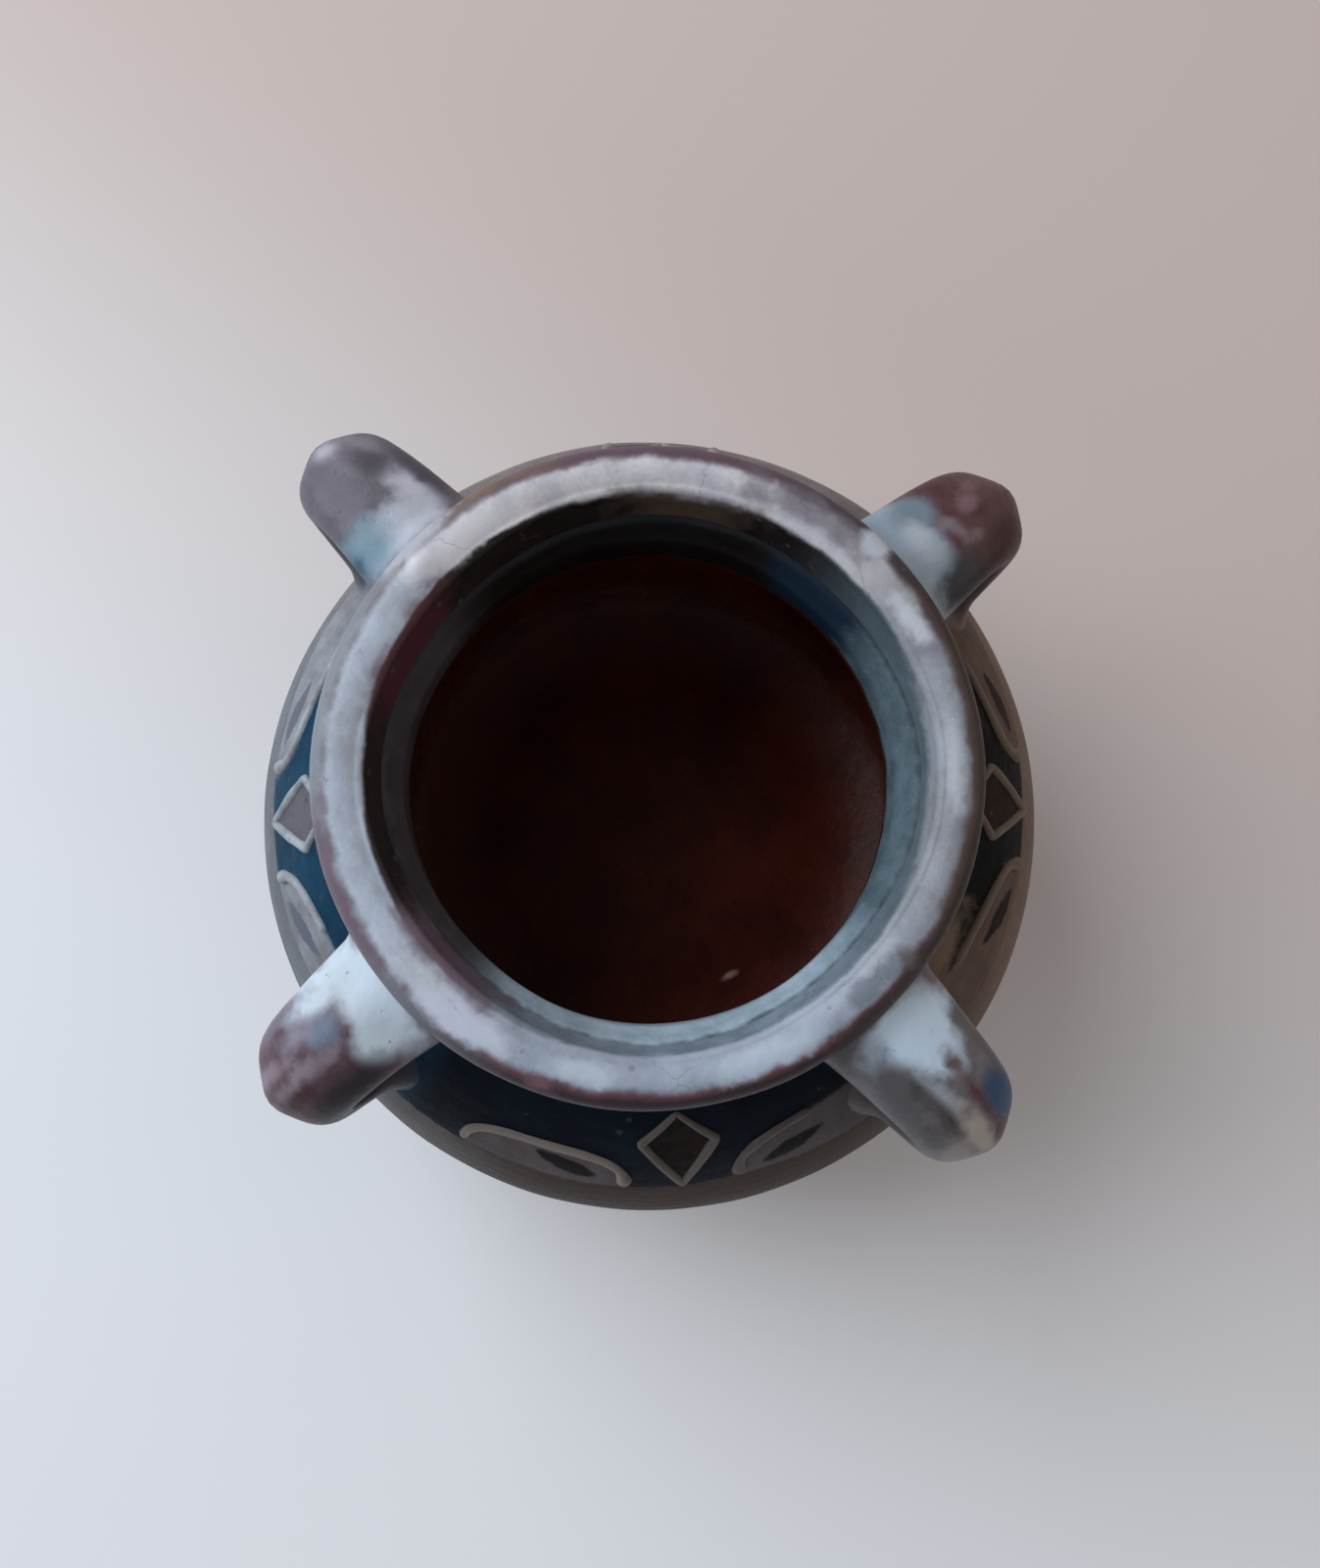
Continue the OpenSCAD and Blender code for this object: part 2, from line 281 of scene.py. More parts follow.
def makeTurnedTree():
    inputs = [("Section", "Geometry", None), ("Steps", "Int", 240), ("Points", "Int", 10),
              ("Segments", "Int", 10), ("Outside", "Material", None), ("Inside", "Material", None)]
    t = Group("turnedWall", "GeometryNodeTree", inputs, [("Wall", "Geometry")])
    sizes = {"Size X": 1.0, "Size Y": 1.0, "Vertices X": t["Steps"] + 1, "Vertices Y": t["Segments"] + 1}
    grid = t.out("GeometryNodeMeshGrid", sizes, "Mesh")
    spot = t.out("GeometryNodeInputPosition")
    flag = t.out("GeometryNodeInputNamedAttribute", {"Name": "inside"}, data_type="FLOAT")
    x, y, _ = t.parts(spot)
    turn = (x + 0.5) * (2 * math.pi)
    index = t.calc("MODULO", t.calc("ROUND", (y + 0.5) * t["Segments"]), t["Points"])

    def sample(value, kind):
        values = {"Geometry": t["Section"], "Value": value, "Index": index}
        return t.out("GeometryNodeSampleIndex", values, data_type=kind, domain="POINT")

    def store(shape, name, value, kind):
        values = {"Geometry": shape, "Name": name, "Value": value}
        return t.out("GeometryNodeStoreNamedAttribute", values, data_type=kind, domain="POINT")

    flagged = store(grid, "inside", sample(flag, "FLOAT"), "FLOAT")
    radius, _, level = t.parts(sample(spot, "FLOAT_VECTOR"))
    corners = {0: radius * t.calc("COSINE", turn), 1: radius * t.calc("SINE", turn), 2: level}
    spun = t.out("ShaderNodeCombineXYZ", corners)
    turned = t.out("GeometryNodeSetPosition", {"Geometry": flagged, "Position": spun})
    leaned = lean(t, store(turned, "trueSpot", spot, "FLOAT_VECTOR"))
    joined = t.out("GeometryNodeMergeByDistance", {"Geometry": leaned, "Distance": 2e-6})
    coated = coat(t, joined, t["Outside"])
    within = t.out("FunctionNodeCompare", {0: flag, 1: 0.99}, data_type="FLOAT", operation="GREATER_THAN")
    lining = {"Geometry": coated, "Selection": within, "Material": t["Inside"]}
    return t.give(Wall=t.out("GeometryNodeSetMaterial", lining))


slipTrail = {
    "width": 1.5,                 # mm
    "height": 0.6,                # mm that a line stands proud of the wall
    "spacing": 0.5,               # mm between the rings of a line
    "unevenness": 0.3,            # share of the width
    "unevenSize": 5.0,            # mm
    "footSwelling": 0.5,          # share of the width that a line's start adds
    "footReach": (2.4, 0.6),      # widths from the start where the swelling begins and is whole
    "endReach": (-0.12, 0.55),    # widths from an end where a line is shut and whole
    "topShare": 0.6,              # share of the width that is left at the top
    "topReach": (43.5, 48.5),     # mm from the axis where a line is thinnest and whole
    "sides": 12,
}


def makeTrailTree():
    s = slipTrail
    inputs = [("Path", "Geometry", None), ("Width", "Float", s["width"] * mm),
              ("Spacing", "Float", s["spacing"] * mm), ("Unevenness", "Float", s["unevenness"]),
              ("Foot swelling", "Float", s["footSwelling"]), ("Top share", "Float", s["topShare"]),
              ("Slip", "Material", None)]
    t = Group("slipTrail", "GeometryNodeTree", inputs, [("Trail", "Geometry")])
    width = t["Width"]
    curve = t.out("GeometryNodeMeshToCurve", {"Mesh": t["Path"]})
    spaced = t.out("GeometryNodeResampleCurve", {"Curve": curve, "Length": t["Spacing"]}, mode="LENGTH")
    length = t.out("GeometryNodeSplineParameter", None, "Length")
    whole = t.out("GeometryNodeSplineLength", None, "Length")
    spot = t.out("GeometryNodeInputPosition")
    swing = (t.noise(spot, 1 / (s["unevenSize"] * mm), 2.0) - 0.5) * (t["Unevenness"] * 2.0)
    fromStart = length / width
    fromEnd = (whole - length) / width
    blob = t.stretch(fromStart, *s["footReach"]) * t["Foot swelling"]
    taper = t.stretch(t.calc("MINIMUM", fromStart, fromEnd), *s["endReach"])
    isOpen = 1.0 - t.out("GeometryNodeInputSplineCyclic")
    rounded = 1.0 - isOpen * (1.0 - taper)
    swollen = swing + blob * isOpen + 1.0
    fromAxis = t.measure("LENGTH", t.flat(spot))
    thinner = t.stretch(fromAxis, *(radius * mm for radius in s["topReach"]), t["Top share"], 1.0)
    radius = swollen * rounded * thinner * (width * 0.5)
    sized = t.out("GeometryNodeSetCurveRadius", {"Curve": spaced, "Radius": radius})
    profile = t.out("GeometryNodeCurvePrimitiveCircle", {"Resolution": s["sides"], "Radius": 1.0})
    swept = t.put("GeometryNodeCurveToMesh", {"Curve": sized, "Profile Curve": profile, "Fill Caps": True})
    if "Scale" in swept.inputs:
        t.feed(swept.inputs["Scale"], t.out("GeometryNodeInputRadius"))
    return t.give(Trail=coat(t, lean(t, Wire(t, swept.outputs[0])), t["Slip"]))


def makeStrapTree():
    inputs = [("Strap", "Geometry", None), ("Glaze", "Material", None)]
    t = Group("pulledStrap", "GeometryNodeTree", inputs, [("Strap", "Geometry")])
    return t.give(Strap=coat(t, lean(t, t["Strap"]), t["Glaze"]))


turnedTree = makeTurnedTree()
trailTree = makeTrailTree()
strapTree = makeStrapTree()


def grow(name, mesh, tree, values, sharp=40):  # a finished piece from its start mesh and its tree
    piece = bpy.data.objects.new(name, mesh)
    bpy.context.scene.collection.objects.link(piece)
    shaping = piece.modifiers.new("shape", "NODES")
    shaping.node_group = tree
    for item in tree.interface.items_tree:
        if item.in_out == "INPUT" and item.name in values:
            shaping[item.identifier] = values[item.name]
    graph = bpy.context.evaluated_depsgraph_get()
    shaped = bpy.data.meshes.new_from_object(
        piece.evaluated_get(graph), preserve_all_data_layers=True, depsgraph=graph
    )
    piece.modifiers.remove(shaping)
    piece.data = shaped
    shaped.name = name
    work = bmesh.new()
    work.from_mesh(shaped)
    bmesh.ops.recalc_face_normals(work, faces=work.faces)
    work.to_mesh(shaped)
    work.free()
    shaped.shade_smooth()
    shaped.set_sharp_from_angle(angle=math.radians(sharp))
    return piece


def settle(piece, node):
    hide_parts(node)
    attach(piece, "root")


# sections of the turned pieces: rows of (distance from the axis, level) in mm

def ovalRun(halfWidth, halfHeight, start, end, count):
    turn = np.linspace(start, end, count)
    return np.column_stack([halfWidth * np.cos(turn), bellyLevel + halfHeight * np.sin(turn)])


def arcRun(centre, radius, start, end, count):
    turn = np.radians(np.linspace(start, end, count))
    return np.column_stack([centre[0] + radius * np.cos(turn), centre[1] + radius * np.sin(turn)])


def seamRun(outer, inner, lift):
    return np.array([outer, [(outer[0] + inner[0]) / 2, (outer[1] + inner[1]) / 2 + lift], inner])


def crownedRun(start, end, bulge, count):  # a straight run that swells up by bulge in its middle
    run = np.linspace(start, end, count)
    share = np.linspace(0, 1, count)
    run[:, 1] += 4 * bulge * share * (1 - share)
    return run


def coveRun(count):
    begin = np.array([pot["floorFlat"], floorLevel])
    finish = ovalRun(innerRadius, -lowerIn, coveTurn, 0, 2)[0]
    slant = innerRadius * math.tan(coveTurn) / lowerIn
    corner = np.array([finish[0] - pot["coveHeight"] * slant, floorLevel])
    t = np.linspace(0, 1, count)[:, None]
    return (1 - t) ** 2 * begin + 2 * t * (1 - t) * corner + t**2 * finish


key = pot["key"]
footInner = footRadius - pot["footWidth"]
footSeam = seamRun([footRadius, pot["footHeight"]], [footInner, pot["footHeight"]], key)
floorSeam = seamRun(ovalRun(bellyRadius, -lowerFall, coveTurn, 0, 2)[0],
                    ovalRun(innerRadius, -lowerIn, coveTurn, 0, 2)[0], -key)
bellySeam = seamRun([bellyRadius, bellyLevel], [innerRadius, bellyLevel], -key)
neckSeam = seamRun([neckRadius, neckLevel], [throatRadius, throatLevel], -key)
rimSeam = seamRun([neckRadius, rimLevel], [pot["rimSeat"] + pot["notchDeep"], rimLevel], -key)


def spin(name, runs, outside, inside, steps, isClosed=True):
    rows, flags = [], []
    for run, isInside in runs:
        for point in run:
            if rows and np.hypot(*(np.array(rows[-1]) - point)) < 1e-4:
                flags[-1] = max(flags[-1], isInside)
                continue
            rows.append(list(point))
            flags.append(isInside)
    if isClosed and np.hypot(*(np.array(rows[0]) - rows[-1])) < 1e-4:
        flags[0] = max(flags[0], flags.pop())
        rows.pop()
    count = len(rows)
    mesh = bpy.data.meshes.new(name + "Section")
    mesh.from_pydata([(r * mm, 0, z * mm) for r, z in rows], [(i, i + 1) for i in range(count - 1)], [])
    mark = mesh.attributes.new("inside", "FLOAT", "POINT")
    mark.data.foreach_set("value", [float(flag) for flag in flags])
    segments = count if isClosed else count - 1
    values = {"Steps": steps, "Points": count, "Segments": segments, "Outside": outside, "Inside": inside}
    return grow(name, mesh, turnedTree, values)


# shader groups

def makePlaceGroup():  # object coordinates to mm, with the distance from the axis, the level and the turn
    outputs = [("Place", "Vector"), ("Radius", "Float"), ("Level", "Float"), ("Turn", "Float")]
    t = Group("potPlace", "ShaderNodeTree", [("Object", "Vector", None)], outputs)
    place = t.move("MULTIPLY", t["Object"], (1000, 1000, 1000))
    x, y, level = t.parts(place)
    radius = t.measure("LENGTH", t.flat(place))
    return t.give(Place=place, Radius=radius, Level=level, Turn=t.calc("ARCTAN2", y, x))


def makeRaggedGroup():  # a mask that starts where a distance passes nought, with a wandering edge
    inputs = [("Distance", "Float", 0.0), ("Place", "Vector", None), ("Softness", "Float", 0.3),
              ("Wander", "Float", 0.4), ("Grain", "Float", 2.5)]
    t = Group("raggedEdge", "ShaderNodeTree", inputs, [("Mask", "Float")])
    noise = t.noise(t["Place"], 1.0 / t["Grain"], 3.0, Roughness=0.6)
    moved = t["Distance"] + (noise - 0.5) * (t["Wander"] * 4.0)
    return t.give(Mask=t.stretch(moved, t["Softness"] * -1.0, t["Softness"]))


def makeMottleGroup():  # glaze that lies thick and thin: a colour that drifts towards another
    inputs = [("Thick", "Color", None), ("Thin", "Color", None), ("Place", "Vector", None),
              ("Size", "Float", 9.0), ("Amount", "Float", 0.6)]
    t = Group("glazeMottle", "ShaderNodeTree", inputs, [("Color", "Color"), ("Drift", "Float")])
    rate = 1.0 / t["Size"]
    broad = t.noise(t["Place"], rate, 4.0, Roughness=0.62)
    grain = t.noise(t["Place"], rate * 11.0, 2.0)
    drift = t.stretch(broad * 0.8 + grain * 0.2, 0.36, 0.64)
    return t.give(Color=t.mixed(drift * t["Amount"], t["Thick"], t["Thin"]), Drift=drift)


def makeSpeckGroup():  # small dark iron specks, scattered and of uneven size
    inputs = [("Place", "Vector", None), ("Spacing", "Float", 2.2), ("Share", "Float", 0.35)]
    t = Group("ironSpecks", "ShaderNodeTree", inputs, [("Mask", "Float")])
    cells = {"Vector": t["Place"], "Scale": 1.0 / t["Spacing"]}
    distance, color = t.outs("ShaderNodeTexVoronoi", cells, feature="F1")[:2]
    chance, width = t.outs("ShaderNodeSeparateColor", {0: color})[:2]
    dot = t.stretch(width * 0.22 - distance, -0.03, 0.05)
    return t.give(Mask=dot * t.calc("LESS_THAN", chance, t["Share"]))


def makeCrackGroup():  # hair cracks in the glaze, which come and go
    inputs = [("Place", "Vector", None), ("Spacing", "Float", 12.0), ("Width", "Float", 0.12),
              ("Share", "Float", 0.4)]
    t = Group("hairCracks", "ShaderNodeTree", inputs, [("Mask", "Float")])
    place, rate = t["Place"], 1.0 / t["Spacing"]
    bent = t.move("MULTIPLY", t.noise(place, 0.3, 3.0, "Color"), (4, 4, 4))
    cells = {"Vector": t.move("ADD", place, bent), "Scale": rate}
    gap = t.out("ShaderNodeTexVoronoi", cells, "Distance", feature="DISTANCE_TO_EDGE")
    line = t.stretch(gap, t["Width"] * rate, 0.0)
    there = t.stretch(t.noise(place, 0.09, 1.0) - (0.75 - t["Share"] * 0.5), 0.0, 0.08)
    return t.give(Mask=line * there)


def makeSkinGroup():  # height of a hand-turned, glazed skin in mm: turning lines, ripples and pinholes
    inputs = [("Place", "Vector", None), ("Level", "Float", 0.0), ("Line spacing", "Float", 2.2),
              ("Lines", "Float", 0.05)]
    t = Group("turnedSkin", "ShaderNodeTree", inputs, [("Height", "Float"), ("Rough", "Float")])
    place = t["Place"]
    raised = t["Level"] + t.noise(place, 0.12, 2.0) * 3.0
    waves = t.calc("SINE", raised / t["Line spacing"] * (2 * math.pi)) * t["Lines"]
    ripple = t.noise(place, 0.45, 3.0)
    peel = t.noise(place, 2.4, 2.0)
    holes = t.out("ShaderNodeTexVoronoi", {"Vector": place, "Scale": 0.35}, "Distance", feature="F1")
    pit = t.stretch(holes, 0.11, 0.03) * -0.12
    return t.give(Height=waves + (ripple * 0.30 + peel * 0.05) + pit, Rough=peel)


placeGroup = makePlaceGroup()
raggedGroup = makeRaggedGroup()
mottleGroup = makeMottleGroup()
speckGroup = makeSpeckGroup()
crackGroup = makeCrackGroup()
skinGroup = makeSkinGroup()
print("node groups built")

# the four panels between the handles, by where they lie in the photograph
panelTurns = dict(zip(("right", "back", "left", "front"), lozengeTurns))


class Glaze(Nodes):  # one material while its layers are laid on
    def __init__(self, name, roughness, coat, bump, lineSpacing=2.2, lines=0.05, shine=0.3):
        self.material = bpy.data.materials.new(name)
        self.material.use_nodes = True
        super().__init__(self.material.node_tree)
        self.tree.nodes.clear()
        coords = self.out("ShaderNodeTexCoord", None, "Object")
        self.place, self.radius, self.level, self.turn = self.group(placeGroup, Object=coords)
        self.rough, self.coat, self.bump, self.shine = roughness, coat, bump, shine
        self.skin = self.group(skinGroup, Place=self.place, Level=self.level,
                               Line_spacing=lineSpacing, Lines=lines)
        self.panelMasks = {}
        self.color = None

    def group(self, tree, **values):
        values = {label.replace("_", " "): value for label, value in values.items()}
        return self.outs("ShaderNodeGroup", values, node_tree=tree)

    def tint(self, color):
        return srgb(*color) if isinstance(color, tuple) else color

    def mix(self, share, under, over):
        return self.mixed(share, self.tint(under), self.tint(over))

    def mottle(self, thick, thin, size=9.0, amount=0.6):
        return self.group(mottleGroup, Thick=self.tint(thick), Thin=self.tint(thin),
                          Place=self.place, Size=size, Amount=amount)[0]

    def drift(self, size):
        return self.group(mottleGroup, Place=self.place, Size=size)[1]

    def ground(self, thick, thin, size, amount):
        self.color = self.mottle(thick, thin, size, amount)

    def mask(self, distance, soft=0.3, wander=0.4, grain=2.5):
        return self.group(raggedGroup, Distance=distance, Place=self.place, Softness=soft,
                          Wander=wander, Grain=grain)[0]

    def lay(self, mask, color, strength=1.0):
        self.color = self.mix(mask if strength == 1.0 else mask * strength, self.color, color)

    def specks(self, color, spacing, share, strength):
        self.lay(self.group(speckGroup, Place=self.place, Spacing=spacing, Share=share)[0], color, strength)

    def cracks(self, color, spacing, share, strength):
        self.lay(self.group(crackGroup, Place=self.place, Spacing=spacing, Share=share)[0], color, strength)

    def both(self, first, second):
        return self.calc("MINIMUM", first, second)

    def lineAt(self, level, half):  # mm into a level line of a half width
        return half - self.calc("ABSOLUTE", self.level - level)

    def away(self, turn):  # radians round the axis from a direction
        return self.calc("ARCCOSINE", self.calc("COSINE", self.turn - turn))

    def byPanel(self, colors, blend=0.11):
        # a colour for each panel, blended over so many radians to each side of a handle
        # panel colours carry painted light and shade as well as the glaze's own colour
        color = colors["back"]
        for panel in ("right", "front", "left"):
            if (panel, blend) not in self.panelMasks:
                away = self.away(panelTurns[panel])
                self.panelMasks[panel, blend] = self.stretch(away, math.pi / 4 + blend, math.pi / 4 - blend)
            color = self.mix(self.panelMasks[panel, blend], color, colors[panel])
        return color

    def patch(self, turn, out, across, long, wide, color, soft=0.8, tilt=0.0, wander=0.7):
        # an oval spot of glaze, placed along and across a direction out from the axis
        local = self.out("ShaderNodeMapping", {"Vector": self.place, "Rotation": (0, 0, -turn)})
        centred = self.move("SUBTRACT", local, (out, across, 0))
        tilted = self.out("ShaderNodeMapping", {"Vector": centred, "Rotation": (0, 0, -math.radians(tilt))})
        length = self.measure("LENGTH", self.move("MULTIPLY", tilted, (1 / long, 1 / wide, 0)))
        self.lay(self.mask((1.0 - length) * min(long, wide), soft, wander, 3.0), color)

    def arc(self, turn, span, near, far, color, soft=0.4, wander=0.5, strength=1.0):
        # a stretch of ring between two distances from the axis, span degrees to each side of a direction
        ends = (math.radians(span) - self.away(math.radians(turn))) * 7.0
        across = self.both(self.radius - near, far - self.radius)
        self.lay(self.mask(self.both(ends, across), soft, wander, 5.0), color, strength)

    def finish(self):
        height, peel = self.skin
        rough = self.stretch(peel, 0.3, 0.7, self.rough - 0.07, self.rough + 0.07, "LINEAR")
        bump = self.out("ShaderNodeBump", {"Height": height, "Strength": self.bump, "Distance": mm})
        values = {"Base Color": self.color, "Roughness": rough, "Normal": bump, "Coat Weight": self.coat,
                  "Coat Roughness": 0.22, "Specular IOR Level": self.shine}
        shader = self.out("ShaderNodeBsdfPrincipled", values)
        self.put("ShaderNodeOutputMaterial", {"Surface": shader})
        return self.material


# finishes of the turned pieces; a turn is in degrees round the axis, as in part.scad

# Colours given per panel are partly the glaze's own and partly painted light and shade: each side is
# painted lighter or darker for how the window lamp falls on it.
def panels(front, right, back, left):
    return {"front": front, "right": right, "back": back, "left": left}


rimGlaze = {
    # Per panel these are partly painted light and shade: the top is painted lighter at the back and darker
    # at the right, the side and the edge darker at the front and right where the rim's flank is in shade,
    # and the inner face nearly black at the back and left, which is painted shade in the mouth.
    "top": panels((146, 159, 178), (122, 124, 132), (220, 217, 223), (184, 198, 218)),
    "side": panels((48, 36, 44), (48, 40, 37), (92, 76, 88), (122, 130, 140)),
    "edge": panels((96, 64, 72), (74, 62, 58), (96, 76, 88), (138, 144, 156)),
    "inner": panels((128, 144, 160), (90, 107, 118), (30, 23, 22), (46, 40, 43)),
    "topThin": (122, 122, 136),
    "edgeThin": (84, 66, 70),
    "innerThin": (52, 48, 52),
    "wornThin": (70, 52, 58),
    "blue": (158, 176, 198),
    "white": (206, 211, 222),
    "crack": (96, 88, 96),
    "speck": (104, 92, 100),
    "edgeFrom": 40.1,      # mm from the axis, where the worn outer edge begins
    "sideFrom": 41.1,      # where the darker side begins
    "innerTo": 35.75,      # where the inner face begins
    # Worn glaze on the rim; the dark arcs at 4, 88 and 100 degrees, beside the east and north handles, are
    # partly painted shade along the rim's outer edge.
    "worn": [              # turn, span, near, far, colour
        (134, 34, 40.4, 44.0, (96, 76, 90)),
        (168, 9, 40.7, 44.0, (122, 102, 84)),
        (100, 13, 40.0, 44.0, (66, 56, 64)),
        (88, 6, 41.0, 44.0, (48, 42, 48)),
        (4, 11, 40.5, 44.0, (58, 50, 54)),
        (202, 14, 33.0, 36.3, (88, 46, 60)),
        (130, 12, 33.0, 36.0, (92, 78, 66)),
        (252, 14, 40.2, 44.0, (104, 82, 98)),
        (105, 12, 37.4, 41.0, (118, 113, 126)),
        (272, 14, 33.0, 36.4, (112, 96, 112)),
    ],
    "spots": [             # turn, out, across, long, wide, colour
        # the first spot is a painted highlight on the lit top of the bump; the others are paler glaze
        (182, 38.4, 3.0, 1.8, 2.4, (214, 216, 226)),
        (182, 41.6, 2.0, 1.6, 6.0, (168, 170, 182)),
        (87, 40.8, 3.8, 2.4, 2.0, (178, 184, 198)),
        (87, 37.8, -6.0, 1.2, 4.0, (184, 188, 200)),
        (50, 38.4, 0.0, 1.0, 6.0, (166, 170, 182)),
        (300, 41.2, 0.0, 0.9, 1.6, (114, 85, 93)),
        (6, 39.4, 3.0, 1.6, 0.9, (96, 92, 98)),
        (306, 38.6, 0.0, 1.4, 4.0, (176, 188, 206)),
        (283, 38.8, 0.0, 1.9, 7.5, (188, 197, 217)),
        (178, 37.6, 0.0, 1.8, 6.0, (208, 209, 218)),
        (340, 38.8, 0.0, 1.6, 6.0, (172, 187, 205)),
        (2, 38.6, 0.0, 1.4, 4.5, (116, 126, 141)),
    ],
    "bump": {"turn": 182, "out": 38.6, "across": 3.0, "height": 0.6, "size": 2.0, "above": 3.0},
}


def makeRimGlaze():
    g = Glaze("rimGlaze", roughness=0.45, coat=0.05, bump=0.35, lines=0.02, shine=0.25)
    r = rimGlaze
    # the top, painted lighter or darker on each side for how the light falls
    g.ground(g.byPanel(r["top"], 0.3), r["topThin"], size=8.0, amount=0.45)
    g.lay(g.drift(17.0), r["blue"], strength=0.25)
    g.lay(g.drift(5.5), r["white"], strength=0.18)
    # the edge and the side, painted darker at the front and right as shade
    edge = g.mottle(g.byPanel(r["edge"], 0.4), r["edgeThin"], size=5.0, amount=0.4)
    g.lay(g.mask(g.radius - r["edgeFrom"], soft=0.7, wander=0.5, grain=5.0), edge)
    g.lay(g.mask(g.radius - r["sideFrom"], soft=0.5, wander=0.3, grain=5.0), g.byPanel(r["side"], 0.4))
    # the inner face, painted nearly black at the back and left as shade in the mouth
    inner = g.mottle(g.byPanel(r["inner"], 0.3), r["innerThin"], size=5.0, amount=0.3)
    g.lay(g.mask(r["innerTo"] - g.radius, soft=0.3, wander=0.25, grain=5.0), inner)
    # worn glaze, with painted shade in its darker arcs
    for *ring, color in r["worn"]:
        worn = g.mottle(color, r["wornThin"], size=4.0, amount=0.35)
        g.arc(*ring, worn, soft=0.9, wander=0.8, strength=0.8)
    for turn, *spot in r["spots"]:
        g.patch(math.radians(turn), *spot)
    g.cracks(r["crack"], spacing=14.0, share=0.5, strength=0.45)
    g.specks(r["speck"], spacing=2.6, share=0.3, strength=0.4)
    return g.finish()


neckGlaze = {
    # The outside is darker at the front and right, which is painted shade under the rim's overhang, and
    # paler at the left where the light falls; partly the glaze's own colour too.
    "outside": panels((38, 32, 36), (44, 36, 33), (72, 60, 66), (114, 120, 130)),
    "outsideThin": (36, 29, 30),
    # The throat is painted nearly black at the back and dark at the left, which is painted shade inside the
    # mouth; it is paler at the front and right.
    "throat": panels((160, 178, 194), (90, 107, 118), (26, 22, 22), (72, 69, 75)),
    "throatThin": panels((128, 148, 162), (62, 79, 89), (18, 15, 15), (60, 57, 62)),
    "spill": (26, 42, 60),
    "spillTurn": 0.14,                  # radians past the north handle
    "spillSize": (33.2, 0, 4.5, 7.5),   # mm out, across, long and wide
    "inside": (50, 24, 19),
    "insideUp": 1.2,                    # mm that the inside's glaze comes up the throat
    # A dark line painted along the joint under the rim: painted shade in the seam's groove.
    "seam": (40, 45, 52),
    "seamDrop": 0.2,                    # mm from the joint down to the middle of its dark line
    "seamHalf": 0.45,
}


def neckColor(g):
    # painted shade under the rim at the front and right
    return g.mottle(g.byPanel(neckGlaze["outside"], 0.4), neckGlaze["outsideThin"], size=6.0, amount=0.5)


def makeNeckGlaze():
    g = Glaze("neckGlaze", roughness=0.5, coat=0.0, bump=0.35, shine=0.15)
    g.color = neckColor(g)
    return g.finish()


def makeThroatGlaze():
    g = Glaze("throatGlaze", roughness=0.42, coat=0.0, bump=0.3, shine=0.15)
    n = neckGlaze
    # painted shade on the throat's back and left
    g.ground(g.byPanel(n["throat"], 0.2), g.byPanel(n["throatThin"], 0.2), size=6.0, amount=0.8)
    g.patch(handleTurns[1] + n["spillTurn"], *n["spillSize"], n["spill"], soft=1.8)
    g.lay(g.mask(throatLevel + n["insideUp"] - g.level, soft=0.6, wander=0.6, grain=4.0), n["inside"])
    # painted shade in the seam's groove
    seam = g.lineAt(rimLevel - n["seamDrop"], n["seamHalf"])
    g.lay(g.mask(seam, soft=0.45, wander=0.3, grain=3.0), n["seam"], strength=0.75)
    return g.finish()


insideGlaze = {
    "thick": (98, 36, 22),
    "thin": (66, 22, 14),
    "dark": (44, 16, 11),
    # A painted highlight: a small pale glint of the lamp on the glossy cove.
    "fleck": (206, 170, 160),
    "fleckTurn": 347,
    "fleckSize": (27.6, 0.0, 0.45, 1.3),    # mm out, across, long and wide
}


def makeInsideGlaze():
    g = Glaze("insideGlaze", roughness=0.3, coat=0.0, bump=0.3, lineSpacing=3.0, lines=0.10, shine=0.12)
    i = insideGlaze
    g.ground(i["thick"], i["thin"], size=12.0, amount=0.8)
    g.specks(i["dark"], spacing=3.0, share=0.3, strength=0.5)
    # painted highlight on the cove
    g.patch(math.radians(i["fleckTurn"]), *i["fleckSize"], i["fleck"], soft=0.4, wander=0.2)
    return g.finish()


